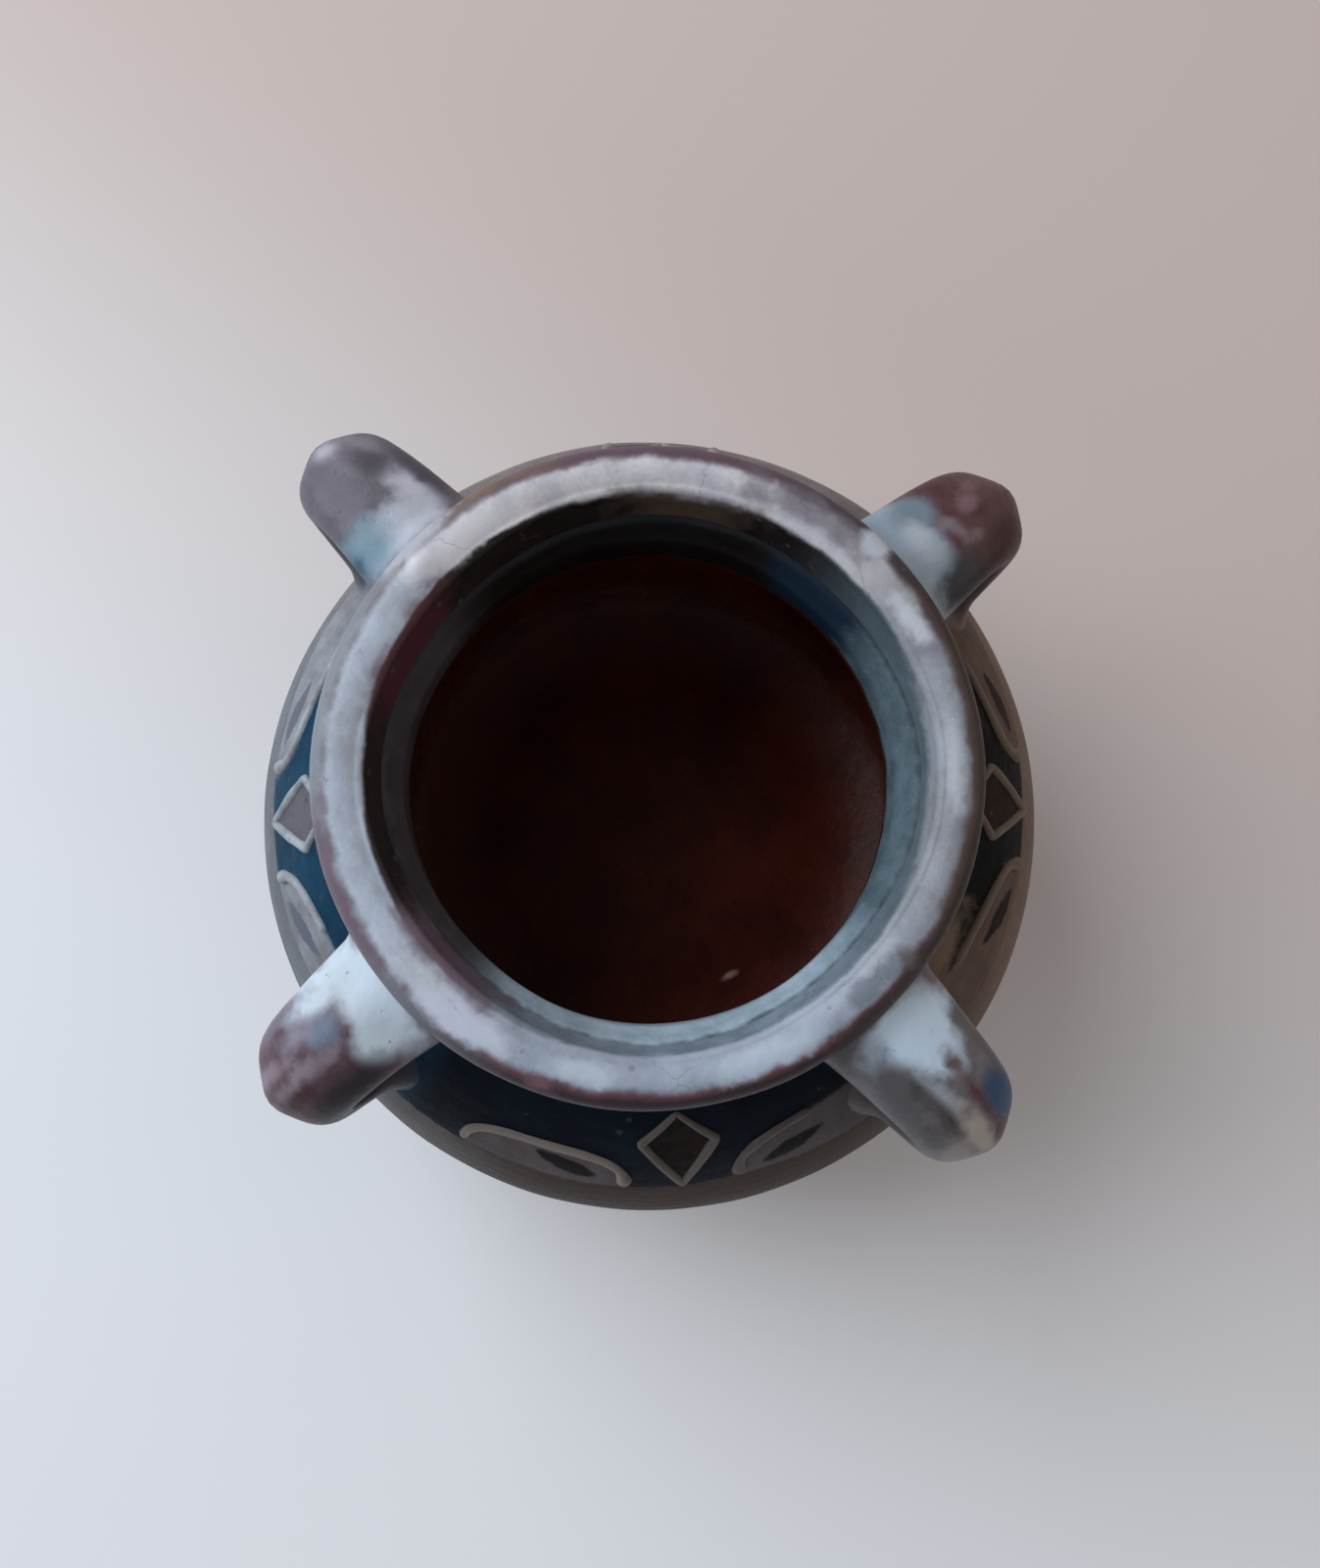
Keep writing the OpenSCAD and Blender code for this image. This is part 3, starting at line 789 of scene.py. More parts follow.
friezeGlaze = {
    # Per panel these are partly painted shade: the front and right, which face away from the window lamp,
    # are painted darker, and the left lighter; the ring is darkest at the front and right as shade under
    # the rim. The rest is the glaze's own colour.
    "spandrel": panels((4, 11, 24), (6, 10, 13), (26, 54, 74), (12, 50, 75)),
    "spandrelThin": panels((6, 20, 34), (10, 12, 13), (38, 70, 89), (20, 63, 88)),
    "field": panels((92, 86, 89), (98, 82, 74), (124, 118, 126), (138, 143, 152)),
    "lozenge": panels((14, 12, 11), (32, 18, 17), (60, 46, 46), (97, 97, 107)),
    "leaf": panels((20, 16, 18), (30, 18, 18), (56, 46, 52), (96, 99, 114)),
    "ring": panels((34, 28, 32), (44, 36, 32), (78, 66, 74), (112, 117, 127)),
    "band": panels((64, 53, 47), (116, 99, 86), (128, 122, 118), (112, 118, 127)),
    "brown": (66, 51, 46),
    "maroon": (80, 54, 54),
    "speck": (74, 64, 62),
    "thinGlaze": [          # turn and colour of the thin glaze beside three handles
        (14, (112, 98, 88)),
        (74, (80, 68, 68)),
        (197, (124, 130, 140)),
    ],
    "thinSize": (44.4, 0.0, 4.0, 9.5),    # mm out, across, long and wide
    "lineLevels": (42.2, 38.0),           # mm, of the brown and the maroon ring
    "lineHalf": 0.32,
    "topRadius": 44.0,      # mm from the axis to the frieze's upper edge
    "footRadius": 54.0,
    "footEdge": 0.4,        # mm from the arches' feet out to the band below
    "blueFrom": 40.2,
    "ringTo": 41.6,
    "archRise": 6.0,
    "archFoot": 8.0,        # from a lozenge's lower point to the foot of an arch
    "closedArch": (3, -1),  # lozenge and side of the one arch that closes before its handle
    "closedHandle": "handle_south",
    "closedRise": 4.0,
    "closedEnd": 19.0,      # from the middle of that handle to the arch's far foot
    "archSquareness": 2.6,
    "lozengeWidth": 10.0,
    "lozengeDrop": 4.0,
    "leafRadius": 52.3,
    "leafTurn": 0.155,      # radians from an arch's foot to the middle of its leaf
    "leafLength": 10.0,
    "leafWidth": 1.9,
    "leafTilt": 0.2,
}


def shoulderLevel(radius):
    return bellyLevel + shoulderRise * np.sqrt(1 - (radius / bellyRadius) ** 2)


def bandColor(g):
    return g.mottle(g.byPanel(friezeGlaze["band"], 0.45), friezeGlaze["brown"], size=9.0, amount=0.35)


def spandrelColor(g):
    thin = g.byPanel(friezeGlaze["spandrelThin"])
    return g.mottle(g.byPanel(friezeGlaze["spandrel"]), thin, size=6.0, amount=0.9)


def fieldColor(g):
    return g.mottle(g.byPanel(friezeGlaze["field"], 0.35), friezeGlaze["brown"], size=5.0, amount=0.4)


def makeFriezeGlaze():
    g = Glaze("friezeGlaze", roughness=0.5, coat=0.0, bump=0.4, lines=0.025, shine=0.06)
    f = friezeGlaze

    def value(name):
        return g.out("ShaderNodeAttribute", None, "Fac", attribute_name=name)

    # the band, spandrel, field, lozenge, leaf and ring colours carry painted shade at the front and right
    g.color = bandColor(g)
    lower = g.level - float(shoulderLevel(f["footRadius"] + f["footEdge"]))
    blue = g.both(g.radius - f["blueFrom"], lower)
    g.lay(g.mask(blue, soft=0.25, wander=0.3, grain=3.0), spandrelColor(g))
    g.lay(g.mask(g.both(value("archGap"), lower), soft=0.35, wander=0.25, grain=2.5), fieldColor(g))
    lozenge = g.mottle(g.byPanel(f["lozenge"]), f["brown"], size=4.0, amount=0.3)
    g.lay(g.mask(value("lozengeGap"), soft=0.25, wander=0.25, grain=2.5), lozenge)
    g.lay(g.mask(value("leafGap"), soft=0.2, wander=0.2, grain=2.0), g.byPanel(f["leaf"]))
    ring = g.mottle(g.byPanel(f["ring"], 0.4), f["brown"], size=5.0, amount=0.5)
    g.lay(g.mask(f["ringTo"] - g.radius, soft=0.9, wander=1.0, grain=6.0), ring)
    for turn, color in f["thinGlaze"]:
        g.patch(math.radians(turn), *f["thinSize"], color, soft=1.8, wander=1.4)
    for level, color in zip(f["lineLevels"], (f["brown"], f["maroon"])):
        line = g.lineAt(level, f["lineHalf"])
        g.lay(g.mask(line, soft=0.25, wander=0.25, grain=4.0), color, strength=0.7)
    g.specks(f["speck"], spacing=2.4, share=0.3, strength=0.5)
    return g.finish()


bellyGlaze = {
    "band": (124, 118, 115),
    "brown": (92, 72, 63),
    "speck": (80, 64, 56),
    "clay": (156, 98, 70),
    "clayDark": (126, 76, 54),
    "claySpeck": (92, 58, 44),
    "clayGrit": (186, 140, 108),
    "lines": [31.4, 19.6, 18.0],    # mm, levels of the thin brown rings
    "lineHalf": 0.4,
    "bandFall": 5.0,                # mm below the widest part where the upper band fades out
    "glazeEnd": 9.5,                # mm, level where the glaze stops above the foot
}


def clayColor(g):
    return g.mottle(bellyGlaze["clay"], bellyGlaze["clayDark"], size=5.0, amount=0.8)


def makeBellyGlaze():
    g = Glaze("bellyGlaze", roughness=0.45, coat=0.0, bump=0.4, lines=0.05, shine=0.2)
    b = bellyGlaze
    g.ground(b["band"], b["brown"], size=10.0, amount=0.4)
    g.lay(g.mask(g.level - (bellyLevel - b["bandFall"]), soft=5.0, wander=2.0, grain=8.0), bandColor(g))
    for level in b["lines"]:
        line = g.lineAt(level, b["lineHalf"])
        g.lay(g.mask(line, soft=0.25, wander=0.3, grain=4.0), b["brown"], strength=0.8)
    g.specks(b["speck"], spacing=2.6, share=0.3, strength=0.5)
    g.lay(g.mask(b["glazeEnd"] - g.level, soft=0.25, wander=1.3, grain=9.0), clayColor(g))
    return g.finish()


def makeBareClay():
    g = Glaze("bareClay", roughness=0.78, coat=0.0, bump=0.6, lineSpacing=1.4, lines=0.08)
    g.color = clayColor(g)
    g.specks(bellyGlaze["claySpeck"], spacing=1.8, share=0.35, strength=0.6)
    g.specks(bellyGlaze["clayGrit"], spacing=2.6, share=0.2, strength=0.5)
    return g.finish()


slipGlaze = {
    # Darker at the front and right as painted shade, paler at the left as painted light; partly the slip's
    # own colour.
    "thick": panels((94, 87, 85), (104, 91, 80), (146, 142, 140), (158, 167, 176)),
    "thin": (80, 71, 69),
    "pale": (130, 122, 117),
    "paleArc": (300, 15.5, 48.0, 57.0),    # turn, span, near and far: the left arch at the front
    "speck": (100, 88, 84),
}


def makeSlipGlaze():
    g = Glaze("slipGlaze", roughness=0.45, coat=0.03, bump=0.25, lines=0.0, shine=0.22)
    # slip colour by panel, with painted light and shade
    g.ground(g.byPanel(slipGlaze["thick"]), slipGlaze["thin"], size=3.5, amount=0.5)
    g.arc(*slipGlaze["paleArc"], slipGlaze["pale"], strength=0.85)
    g.specks(slipGlaze["speck"], spacing=1.6, share=0.25, strength=0.4)
    return g.finish()


rimMaterial = makeRimGlaze()
neckMaterial = makeNeckGlaze()
throatMaterial = makeThroatGlaze()
insideMaterial = makeInsideGlaze()
friezeMaterial = makeFriezeGlaze()
bellyMaterial = makeBellyGlaze()
clayMaterial = makeBareClay()
slipMaterial = makeSlipGlaze()
print("glazes mixed")


# turned pieces

def makeFoot():
    edge = pot["footRound"]
    runs = [
        (footSeam, 0),
        (arcRun((footInner + edge, edge), edge, 180, 270, 8), 0),
        (arcRun((footRadius - edge, edge), edge, 270, 360, 8), 0),
    ]
    settle(spin("footRing", runs, clayMaterial, clayMaterial, 240), "foot_ring")


def makeFloor():
    runs = [
        (np.linspace((0, floorLevel), (pot["floorFlat"], floorLevel), 12), 1),
        (coveRun(16), 1),
        (floorSeam[::-1], 0),
        (ovalRun(bellyRadius, -lowerFall, coveTurn, baseTurn, 16), 0),
        (footSeam, 0),
        (np.linspace((footInner, pot["footHeight"]), (0, pot["footHeight"]), 10), 0),
    ]
    settle(spin("floorDisc", runs, bellyMaterial, insideMaterial, 240, False), "floor_disc")


def makeLower():
    runs = [
        (floorSeam[::-1], 0),
        (ovalRun(bellyRadius, -lowerFall, coveTurn, 0, 44), 0),
        (bellySeam, 0),
        (ovalRun(innerRadius, -lowerIn, 0, coveTurn, 24), 1),
    ]
    settle(spin("lowerWall", runs, bellyMaterial, insideMaterial, 300), "lower_wall")


def archShape(place, side):
    # radians from a lozenge to the middle of the arch beside it, its half span and its end,
    # and its rise in mm
    f = friezeGlaze
    overlap = 0.02    # radians past the handle's middle, where two halves meet
    handle = handleTurns[(place + (side > 0)) % 4]
    toHandle = wrapped(handle - lozengeTurns[place])
    foot = side * math.asin(f["archFoot"] / f["footRadius"])
    if (place, side) == f["closedArch"]:
        end = toHandle - side * math.asin(f["closedEnd"] / f["footRadius"])
        return (foot + end) / 2, abs(end - foot) / 2, abs(end), f["closedRise"]
    return toHandle, abs(toHandle - foot), abs(toHandle) + overlap, f["archRise"]


def panelGaps(spots):  # signed mm into each arch, lozenge and leaf of the frieze
    f, power, outside = friezeGlaze, friezeGlaze["archSquareness"], -20.0
    acrossSlant = 0.75    # share of a gap along the ring that lies across a lozenge's slanting side
    pastFoot = 0.3        # share of its rise that an arch's field goes on past its feet
    radius = np.hypot(spots[:, 0], spots[:, 1])
    turn = np.arctan2(spots[:, 1], spots[:, 0])
    arch, lozenge, leaf = (np.full(len(spots), outside) for _ in range(3))
    widest = f["topRadius"] + f["lozengeDrop"]
    above = f["lozengeWidth"] / 2 * (radius - f["topRadius"]) / f["lozengeDrop"]
    below = f["lozengeWidth"] / 2 * (f["footRadius"] - radius) / (f["footRadius"] - widest)
    for place, lozengeTurn in enumerate(lozengeTurns):
        aside = wrapped(turn - lozengeTurn)
        lozenge = np.maximum(lozenge, (np.minimum(above, below) - np.abs(aside) * radius) * acrossSlant)
        for side in (-1, 1):
            middle, half, end, height = archShape(place, side)
            rise = (f["footRadius"] - radius) / height
            size = ((np.abs(aside - middle) / half) ** power + np.maximum(rise, 0) ** power) ** (1 / power)
            isSide = (aside * side > 0) & (np.abs(aside) <= end) & (rise > -pastFoot)
            arch = np.maximum(arch, np.where(isSide, (1 - size) * height, outside))
            u = (aside - middle + side * (half - f["leafTurn"])) * radius
            v = radius - f["leafRadius"]
            tilt = -side * f["leafTilt"]
            along = 2 * (u * math.cos(tilt) + v * math.sin(tilt)) / f["leafLength"]
            across = v * math.cos(tilt) - u * math.sin(tilt)
            almond = f["leafWidth"] / 2 * (1 - along**2) - np.abs(across)
            leaf = np.maximum(leaf, np.where(np.abs(along) < 1.1, almond, outside))
    return {"archGap": arch, "lozengeGap": lozenge, "leafGap": leaf}


def makeShoulder():
    runs = [
        (bellySeam[::-1], 0),
        (ovalRun(bellyRadius, shoulderRise, 0, neckTurn, 90), 0),
        (neckSeam, 0),
        (ovalRun(innerRadius, shoulderIn, throatTurn, 0, 30), 1),
    ]
    piece = spin("shoulderWall", runs, friezeMaterial, insideMaterial, 420)
    attributes = piece.data.attributes
    for name, gap in panelGaps(readSpots(attributes["trueSpot"].data, "vector")).items():
        attributes.new(name, "FLOAT", "POINT").data.foreach_set("value", gap)
    settle(piece, "shoulder_wall")


def makeNeck():
    seat, deep = pot["rimSeat"], pot["notchDeep"]
    notch = [(seat + deep, rimLevel), (seat - pot["notchIn"], rimLevel - deep)]
    flareFoot = (throatRadius, rimLevel - pot["flareHeight"])
    runs = [
        (neckSeam[::-1], 0),
        (np.linspace((neckRadius, neckLevel), (neckRadius, rimLevel), 8), 0),
        (rimSeam, 0),
        (np.linspace(*notch, 3), 1),
        (np.linspace(notch[1], flareFoot, 8), 1),
        (np.linspace(flareFoot, (throatRadius, throatLevel), 8), 1),
    ]
    settle(spin("neckCollar", runs, neckMaterial, throatMaterial, 300), "neck_collar")


def makeRim():
    seat, deep = pot["rimSeat"], pot["notchDeep"]
    edge, lip = pot["rimRound"], pot["lipRound"]
    edgeRadius = rimRadius - edge
    lipCentre = (pot["mouthRadius"] + lip, topLevel - pot["rimDip"] - lip)
    notch = [(seat + pot["notchIn"], rimLevel + deep), (seat + deep, rimLevel)]
    runs = [
        (rimSeam[::-1], 0),
        (arcRun((edgeRadius, rimLevel + edge), edge, -90, 0, 12), 0),
        (arcRun((edgeRadius, topLevel - edge), edge, 0, 90, 14), 0),
        (crownedRun((edgeRadius, topLevel), (lipCentre[0], lipCentre[1] + lip), pot["rimCrown"], 14), 0),
        (arcRun(lipCentre, lip, 90, 180, 10), 0),
        (np.linspace((pot["mouthRadius"], lipCentre[1]), notch[0], 8), 0),
        (np.linspace(*notch, 3), 0),
    ]
    piece = spin("rimCoil", runs, rimMaterial, rimMaterial, 360)
    bump = rimGlaze["bump"]
    cos, sin = math.cos(math.radians(bump["turn"])), math.sin(math.radians(bump["turn"]))
    for vertex in piece.data.vertices:
        x, y, z = vertex.co / mm
        out, across = x * cos + y * sin - bump["out"], y * cos - x * sin - bump["across"]
        if z > rimLevel + bump["above"]:
            vertex.co.z += bump["height"] * mm * math.exp(-(out**2 + across**2) / bump["size"] ** 2)
    settle(piece, "rim_coil")


makeFoot()
makeFloor()
makeLower()
makeShoulder()
makeNeck()
makeRim()
print("turned pieces thrown")


# strap handles, bent over a loop and pressed on to the wall

strap = {
    "width": 15.0,
    "thickness": 9.0,
    "rootWidth": 24.0,
    "rootThickness": 11.0,
    "loopOut": 8.0,
    "topDrop": 3.5,
    "tipDrop": 7.5,
    "tipRound": 2.0,     # mm that the edges fall back at the outermost point
    "upperTurn": 165.0,
    "lowerTurn": 108.0,
    "flarePower": 2.5,
    "lowerFlare": 4.0,   # the lower end spreads later
    "wallScale": 44.0,   # mm off the shoulder for each unit of the oval's size
    "squareness": 2.2,
    "rings": 84,
    "sides": 44,
    "sunk": 2.0,         # mm that the ends go into the wall
    "fillet": 1.6,       # mm of smeared clay round each end
    "filletReach": 3.2,
    "filletFrom": 3.0,   # mm from the strap's middle where the smear is whole
    "flute": 0.45,       # mm, two finger grooves along the outer face
    "underLevel": 64.0,  # mm, level below which the strap's lower end is painted darker: painted shade under the loop, partly the wall's dark glaze
    "wallReach": 0.9,    # mm off the shoulder that its colour comes up an end
    "fieldEdge": 0.5,    # mm from the top of an arch out to where its field's colour begins
    "neckReach": 2.2,    # mm off the neck that its colour comes out
    "speck": (70, 60, 66),
}


def outerRadius(level):  # of the neck and the rim
    edge = pot["rimRound"]
    low = np.clip(rimLevel + edge - level, 0, edge)
    high = np.clip(level - topLevel + edge, 0, edge)
    rim = rimRadius - edge + np.sqrt(edge**2 - np.maximum(low, high) ** 2)
    return np.where(level < rimLevel, neckRadius, rim)


def bellyGap(radius, level):  # signed mm outside the shoulder, and the way out of it
    u, v = radius / bellyRadius, (level - bellyLevel) / shoulderRise
    size = np.sqrt(u**2 + v**2)
    out, up = u / bellyRadius / size, v / shoulderRise / size
    slope = np.hypot(out, up)
    return (size - 1) / slope, out / slope, up / slope


def signedPower(value, power):
    return np.sign(value) * np.abs(value) ** power


def strapSpots(name):  # rings of spots along the strap in mm, as if it stood out along x
    s = strap
    points = nodePoints(name)
    loop = neckRadius + s["loopOut"]
    out = np.hypot(points[:, 0], points[:, 1]).max() - s["thickness"] / 2 - loop
    tipLevel = topLevel - s["topDrop"] - s["thickness"] / 2 - s["tipDrop"]
    sunkLevel = float(shoulderLevel(loop)) - s["rootThickness"] / 2 - pot["key"]
    bend = np.radians(np.linspace(s["upperTurn"], -s["lowerTurn"], s["rings"] + 1))[:, None]
    around = np.linspace(0, 2 * math.pi, s["sides"], endpoint=False)
    isUpper = bend > 0
    up = np.where(isUpper, s["tipDrop"], tipLevel - sunkLevel)
    share = np.abs(bend) / np.radians(np.where(isUpper, s["upperTurn"], s["lowerTurn"]))
    spread = share ** np.where(isUpper, s["flarePower"], s["lowerFlare"])
    halfWidth = (s["width"] + (s["rootWidth"] - s["width"]) * spread) / 2
    halfThick = (s["thickness"] + (s["rootThickness"] - s["thickness"]) * spread) / 2
    centreOut, centreUp = loop + out * np.cos(bend), tipLevel + up * np.sin(bend)
    normalOut, normalUp = np.cos(bend) / out, np.sin(bend) / up
    power = 2 / s["squareness"]
    y = halfWidth * signedPower(np.cos(around), power)
    rib = 0.5 - 0.5 * np.cos(2 * math.pi * y / halfWidth)
    outerFace = np.sqrt(np.maximum(np.sin(around), 0))
    lift = halfThick * signedPower(np.sin(around), power) - s["flute"] * rib * outerFace
    lift = lift / np.hypot(normalOut, normalUp)
    x = centreOut + normalOut * lift - s["tipRound"] * (np.maximum(np.cos(bend), 0) * y / halfWidth) ** 2
    z = centreUp + normalUp * lift
    # lower end: a shallow bed in the shoulder, smeared out over it
    for _ in range(4):
        radius = np.hypot(x, y)
        gap, slopeOut, slopeUp = bellyGap(radius, z)
        need = np.where(isUpper, 0, np.maximum(-s["sunk"] - gap, 0))
        grown = 1 + need * slopeOut / radius
        x, y, z = x * grown, y * grown, z + need * slopeUp
    # upper end: the same in the neck and the rim
    radius = np.hypot(x, y)
    bed = np.where(isUpper, np.maximum(radius, outerRadius(z) - s["sunk"]), radius)
    x, y = x * bed / radius, y * bed / radius
    gap, slopeOut, slopeUp = bellyGap(bed, z)
    gap = np.where(isUpper, bed - outerRadius(z), gap)
    slopeOut, slopeUp = np.where(isUpper, 1, slopeOut), np.where(isUpper, 0, slopeUp)
    smear = s["fillet"] * np.clip(1 - np.maximum(gap, 0) / s["filletReach"], 0, 1) ** 2
    spots = np.stack([x, y, z], -1)
    normal = np.stack([slopeOut * x / bed, slopeOut * y / bed, slopeUp], -1)
    arm = spots - np.stack([centreOut, 0 * centreOut, centreUp], -1)
    tangent = arm - (arm * normal).sum(-1, keepdims=True) * normal
    size = np.sqrt((tangent**2).sum(-1)) + 1e-6
    return spots + tangent * (smear * np.clip(size / s["filletFrom"], 0, 1) / size)[..., None]


def strapMesh(name, turn):
    x, y, z = np.moveaxis(strapSpots(name), -1, 0)
    cos, sin = math.cos(turn), math.sin(turn)
    spots = np.stack([x * cos - y * sin, x * sin + y * cos, z], -1).reshape(-1, 3) * mm
    rings, sides = strap["rings"] + 1, strap["sides"]
    last = (rings - 1) * sides
    after = [(j + 1) % sides for j in range(sides)]
    faces = [(i + j, i + after[j], i + sides + after[j], i + sides + j)
             for i in range(0, last, sides) for j in range(sides)]
    faces += [(len(spots), after[j], j) for j in range(sides)]
    faces += [(len(spots) + 1, last + j, last + after[j]) for j in range(sides)]
    spots = np.vstack([spots, spots[:sides].mean(0), spots[-sides:].mean(0)])
    mesh = bpy.data.meshes.new(name)
    mesh.from_pydata(spots.tolist(), [], faces)
    return mesh


# each handle's own glazes, with oval patches: mm out from the axis, across the strap, long and wide,
# colour, and then softness, tilt in degrees and wander where they aren't the usual ones
# Each handle's 'under' colour is painted shade on its lower end under the loop, partly the dark glaze of
# the wall there.
handlePaint = {
    "handle_west": {
        "thick": (102, 97, 109), "thin": (80, 75, 87), "under": (62, 64, 74),
        "patches": [
            (45.5, 0.5, 3.4, 6.5, (176, 180, 194), 1.4),
            (48.2, -4.2, 4.6, 2.0, (176, 178, 192), 1.2, 6),
            (46.6, 5.6, 3.8, 4.2, (118, 146, 165), 2.2, -20, 1.2),
            (46.6, 9.4, 2.6, 1.8, (38, 74, 94), 1.2),
            (52.0, -7.0, 8.0, 1.3, (74, 70, 82), 1.0),
            (56.0, -3.2, 2.8, 1.9, (72, 68, 80), 1.4),
            (62.5, 0.0, 1.8, 1.6, (164, 162, 176), 1.4),
            (60.0, -4.0, 3.0, 1.3, (116, 112, 124), 1.2, 20),
            (58.0, 3.0, 4.2, 1.3, (90, 85, 96), 1.2),
        ],
    },
    "handle_north": {
        "thick": (74, 45, 49), "thin": (94, 66, 70), "under": (46, 42, 46),
        "patches": [
            (43.8, 0.5, 5.4, 12.0, (138, 152, 167), 1.4),
            (48.6, 4.4, 3.0, 2.8, (108, 124, 138), 1.4),
            (46.8, 1.0, 1.6, 3.0, (162, 170, 182), 1.3),
            (49.0, -7.0, 4.8, 3.2, (50, 51, 58), 1.4),
            (57.0, -6.2, 5.6, 2.8, (56, 22, 28), 1.6),
            (51.5, -0.6, 1.0, 2.2, (118, 106, 116), 0.8, 25),
            (55.5, 1.2, 1.5, 1.0, (114, 88, 93)),
            (53.5, -2.6, 1.1, 0.9, (116, 95, 102)),
            (57.8, 3.4, 1.3, 0.9, (106, 78, 83)),
        ],
    },
    "handle_south": {
        "thick": (100, 78, 88), "thin": (76, 53, 62), "under": (30, 27, 38),
        "patches": [
            (44.6, -1.0, 4.0, 9.0, (196, 211, 227), 1.4),
            (50.6, -6.2, 5.0, 2.8, (196, 211, 227), 1.2),
            (47.4, 4.0, 3.0, 2.8, (192, 207, 222), 1.2),
            (51.8, -1.0, 2.4, 2.0, (104, 117, 141), 1.5),
            (55.0, -3.4, 2.4, 1.6, (128, 126, 142), 1.2),
            (57.0, 1.2, 4.6, 1.1, (136, 124, 138), 1.0),
            (61.5, -2.0, 3.0, 1.2, (128, 114, 126), 0.8, -15),
            (55.5, 7.2, 7.5, 3.2, (40, 33, 43), 1.6),
            (57.0, -6.8, 5.0, 1.5, (108, 101, 116), 1.2),
            (60.5, 3.0, 3.5, 1.0, (68, 42, 51)),
        ],
    },
    "handle_east": {
        "thick": (112, 110, 117), "thin": (84, 80, 85), "under": (76, 67, 64),
        "patches": [
            (45.8, 1.2, 3.6, 6.6, (188, 208, 228), 1.2),
            (49.2, 1.9, 4.0, 3.6, (188, 208, 228), 1.2),
            (52.6, 2.6, 2.2, 1.3, (152, 168, 186), 1.0),
            (50.5, -5.0, 5.0, 2.0, (84, 84, 90), 1.2, -12),
            (54.5, -1.4, 3.4, 0.9, (150, 158, 170), 1.0),
            (57.5, -2.6, 4.8, 0.9, (56, 52, 50), 0.8, 6),
            (61.5, -1.0, 3.8, 1.6, (166, 159, 153), 1.0),
            (62.5, -4.4, 2.6, 1.9, (146, 140, 137), 1.0),
            (57.5, 2.2, 5.0, 0.8, (84, 50, 58)),
            (60.6, 5.0, 4.0, 2.6, (42, 74, 108), 1.0),
            (64.5, 2.4, 1.8, 2.0, (72, 42, 47)),
        ],
    },
}


def makeHandleGlaze(name, turn):
    paint, f = handlePaint[name], friezeGlaze
    glazeName = name.replace("handle_", "handleGlaze.")
    g = Glaze(glazeName, roughness=0.45, coat=0.05, bump=0.45, lines=0.0, shine=0.25)
    g.ground(paint["thick"], paint["thin"], size=5.0, amount=0.8)
    for patch in paint["patches"]:
        g.patch(turn, *patch)
    # painted shade under the loop, partly the wall's dark glaze
    under = g.mottle(paint["under"], paint["thin"], size=5.0, amount=0.4)
    g.lay(g.mask(strap["underLevel"] - g.level, soft=3.4, wander=2.4, grain=7.0), under)
    # both ends take the colour of what they are smeared over
    outShare = g.radius / bellyRadius
    upShare = (g.level - bellyLevel) / shoulderRise
    ovalSize = g.calc("SQRT", outShare * outShare + upShare * upShare)
    offWall = (ovalSize - 1.0) * strap["wallScale"]
    wall = spandrelColor(g)
    if name != f["closedHandle"]:
        fieldFrom = f["footRadius"] - f["archRise"] + strap["fieldEdge"]
        wall = g.mix(g.mask(g.radius - fieldFrom, soft=0.8, wander=0.5, grain=4.0), wall, fieldColor(g))
    g.lay(g.mask(strap["wallReach"] - offWall, soft=0.9, wander=0.5, grain=4.0), wall)
    onNeck = g.both(neckRadius + strap["neckReach"] - g.radius, rimLevel - g.level)
    g.lay(g.mask(onNeck, soft=0.9, wander=0.5, grain=4.0), neckColor(g))
    g.specks(strap["speck"], spacing=2.0, share=0.3, strength=0.4)
    return g.finish()


def makeHandles():
    for name, turn in zip(handleNames, handleTurns):
        pieceName = "handle" + name.split("_")[1].capitalize()
        values = {"Glaze": makeHandleGlaze(name, turn)}
        settle(grow(pieceName, strapMesh(name, turn), strapTree, values, sharp=50), name)


makeHandles()
print("handles pulled")


# slip lines, trailed on the shoulder

def onShoulder(turn, radius):
    # spots for the middle of a slip line, sunk so that the line stands proud by its height
    level = shoulderLevel(radius)
    slopeOut = radius / bellyRadius**2
    slopeUp = (level - bellyLevel) / shoulderRise**2
    lift = (slipTrail["height"] - slipTrail["width"] / 2) / np.hypot(slopeOut, slopeUp)
    out = radius + lift * slopeOut
    return np.column_stack([out * np.cos(turn), out * np.sin(turn), level + lift * slopeUp])


def trail(name, lines, isClosed, node):
    spots, links = [], []
    for line in lines:
        first = len(spots)
        spots += (line * mm).tolist()
        links += [(i, i + 1) for i in range(first, len(spots) - 1)]
        if isClosed:
            links.append((len(spots) - 1, first))
    mesh = bpy.data.meshes.new(name)
    mesh.from_pydata(spots, links, [])
    values = {"Width": slipTrail["width"] * mm, "Slip": slipMaterial}
    settle(grow(name, mesh, trailTree, values, sharp=60), node)


def archLine(place, side):  # from its foot to the handle's side, or to its far foot
    f = friezeGlaze
    middle, half, _, height = archShape(place, side)
    power = 2 / f["archSquareness"]
    rootHalf = math.asin((strap["rootWidth"] / 2 + slipTrail["width"]) / (f["footRadius"] - height))
    isWhole = (place, side) == f["closedArch"]
    bend = np.linspace(0, math.pi if isWhole else math.acos((rootHalf / half) ** (1 / power)), 61)
    turn = lozengeTurns[place] + middle - side * half * signedPower(np.cos(bend), power)
    return onShoulder(turn, f["footRadius"] - height * np.abs(np.sin(bend)) ** power)


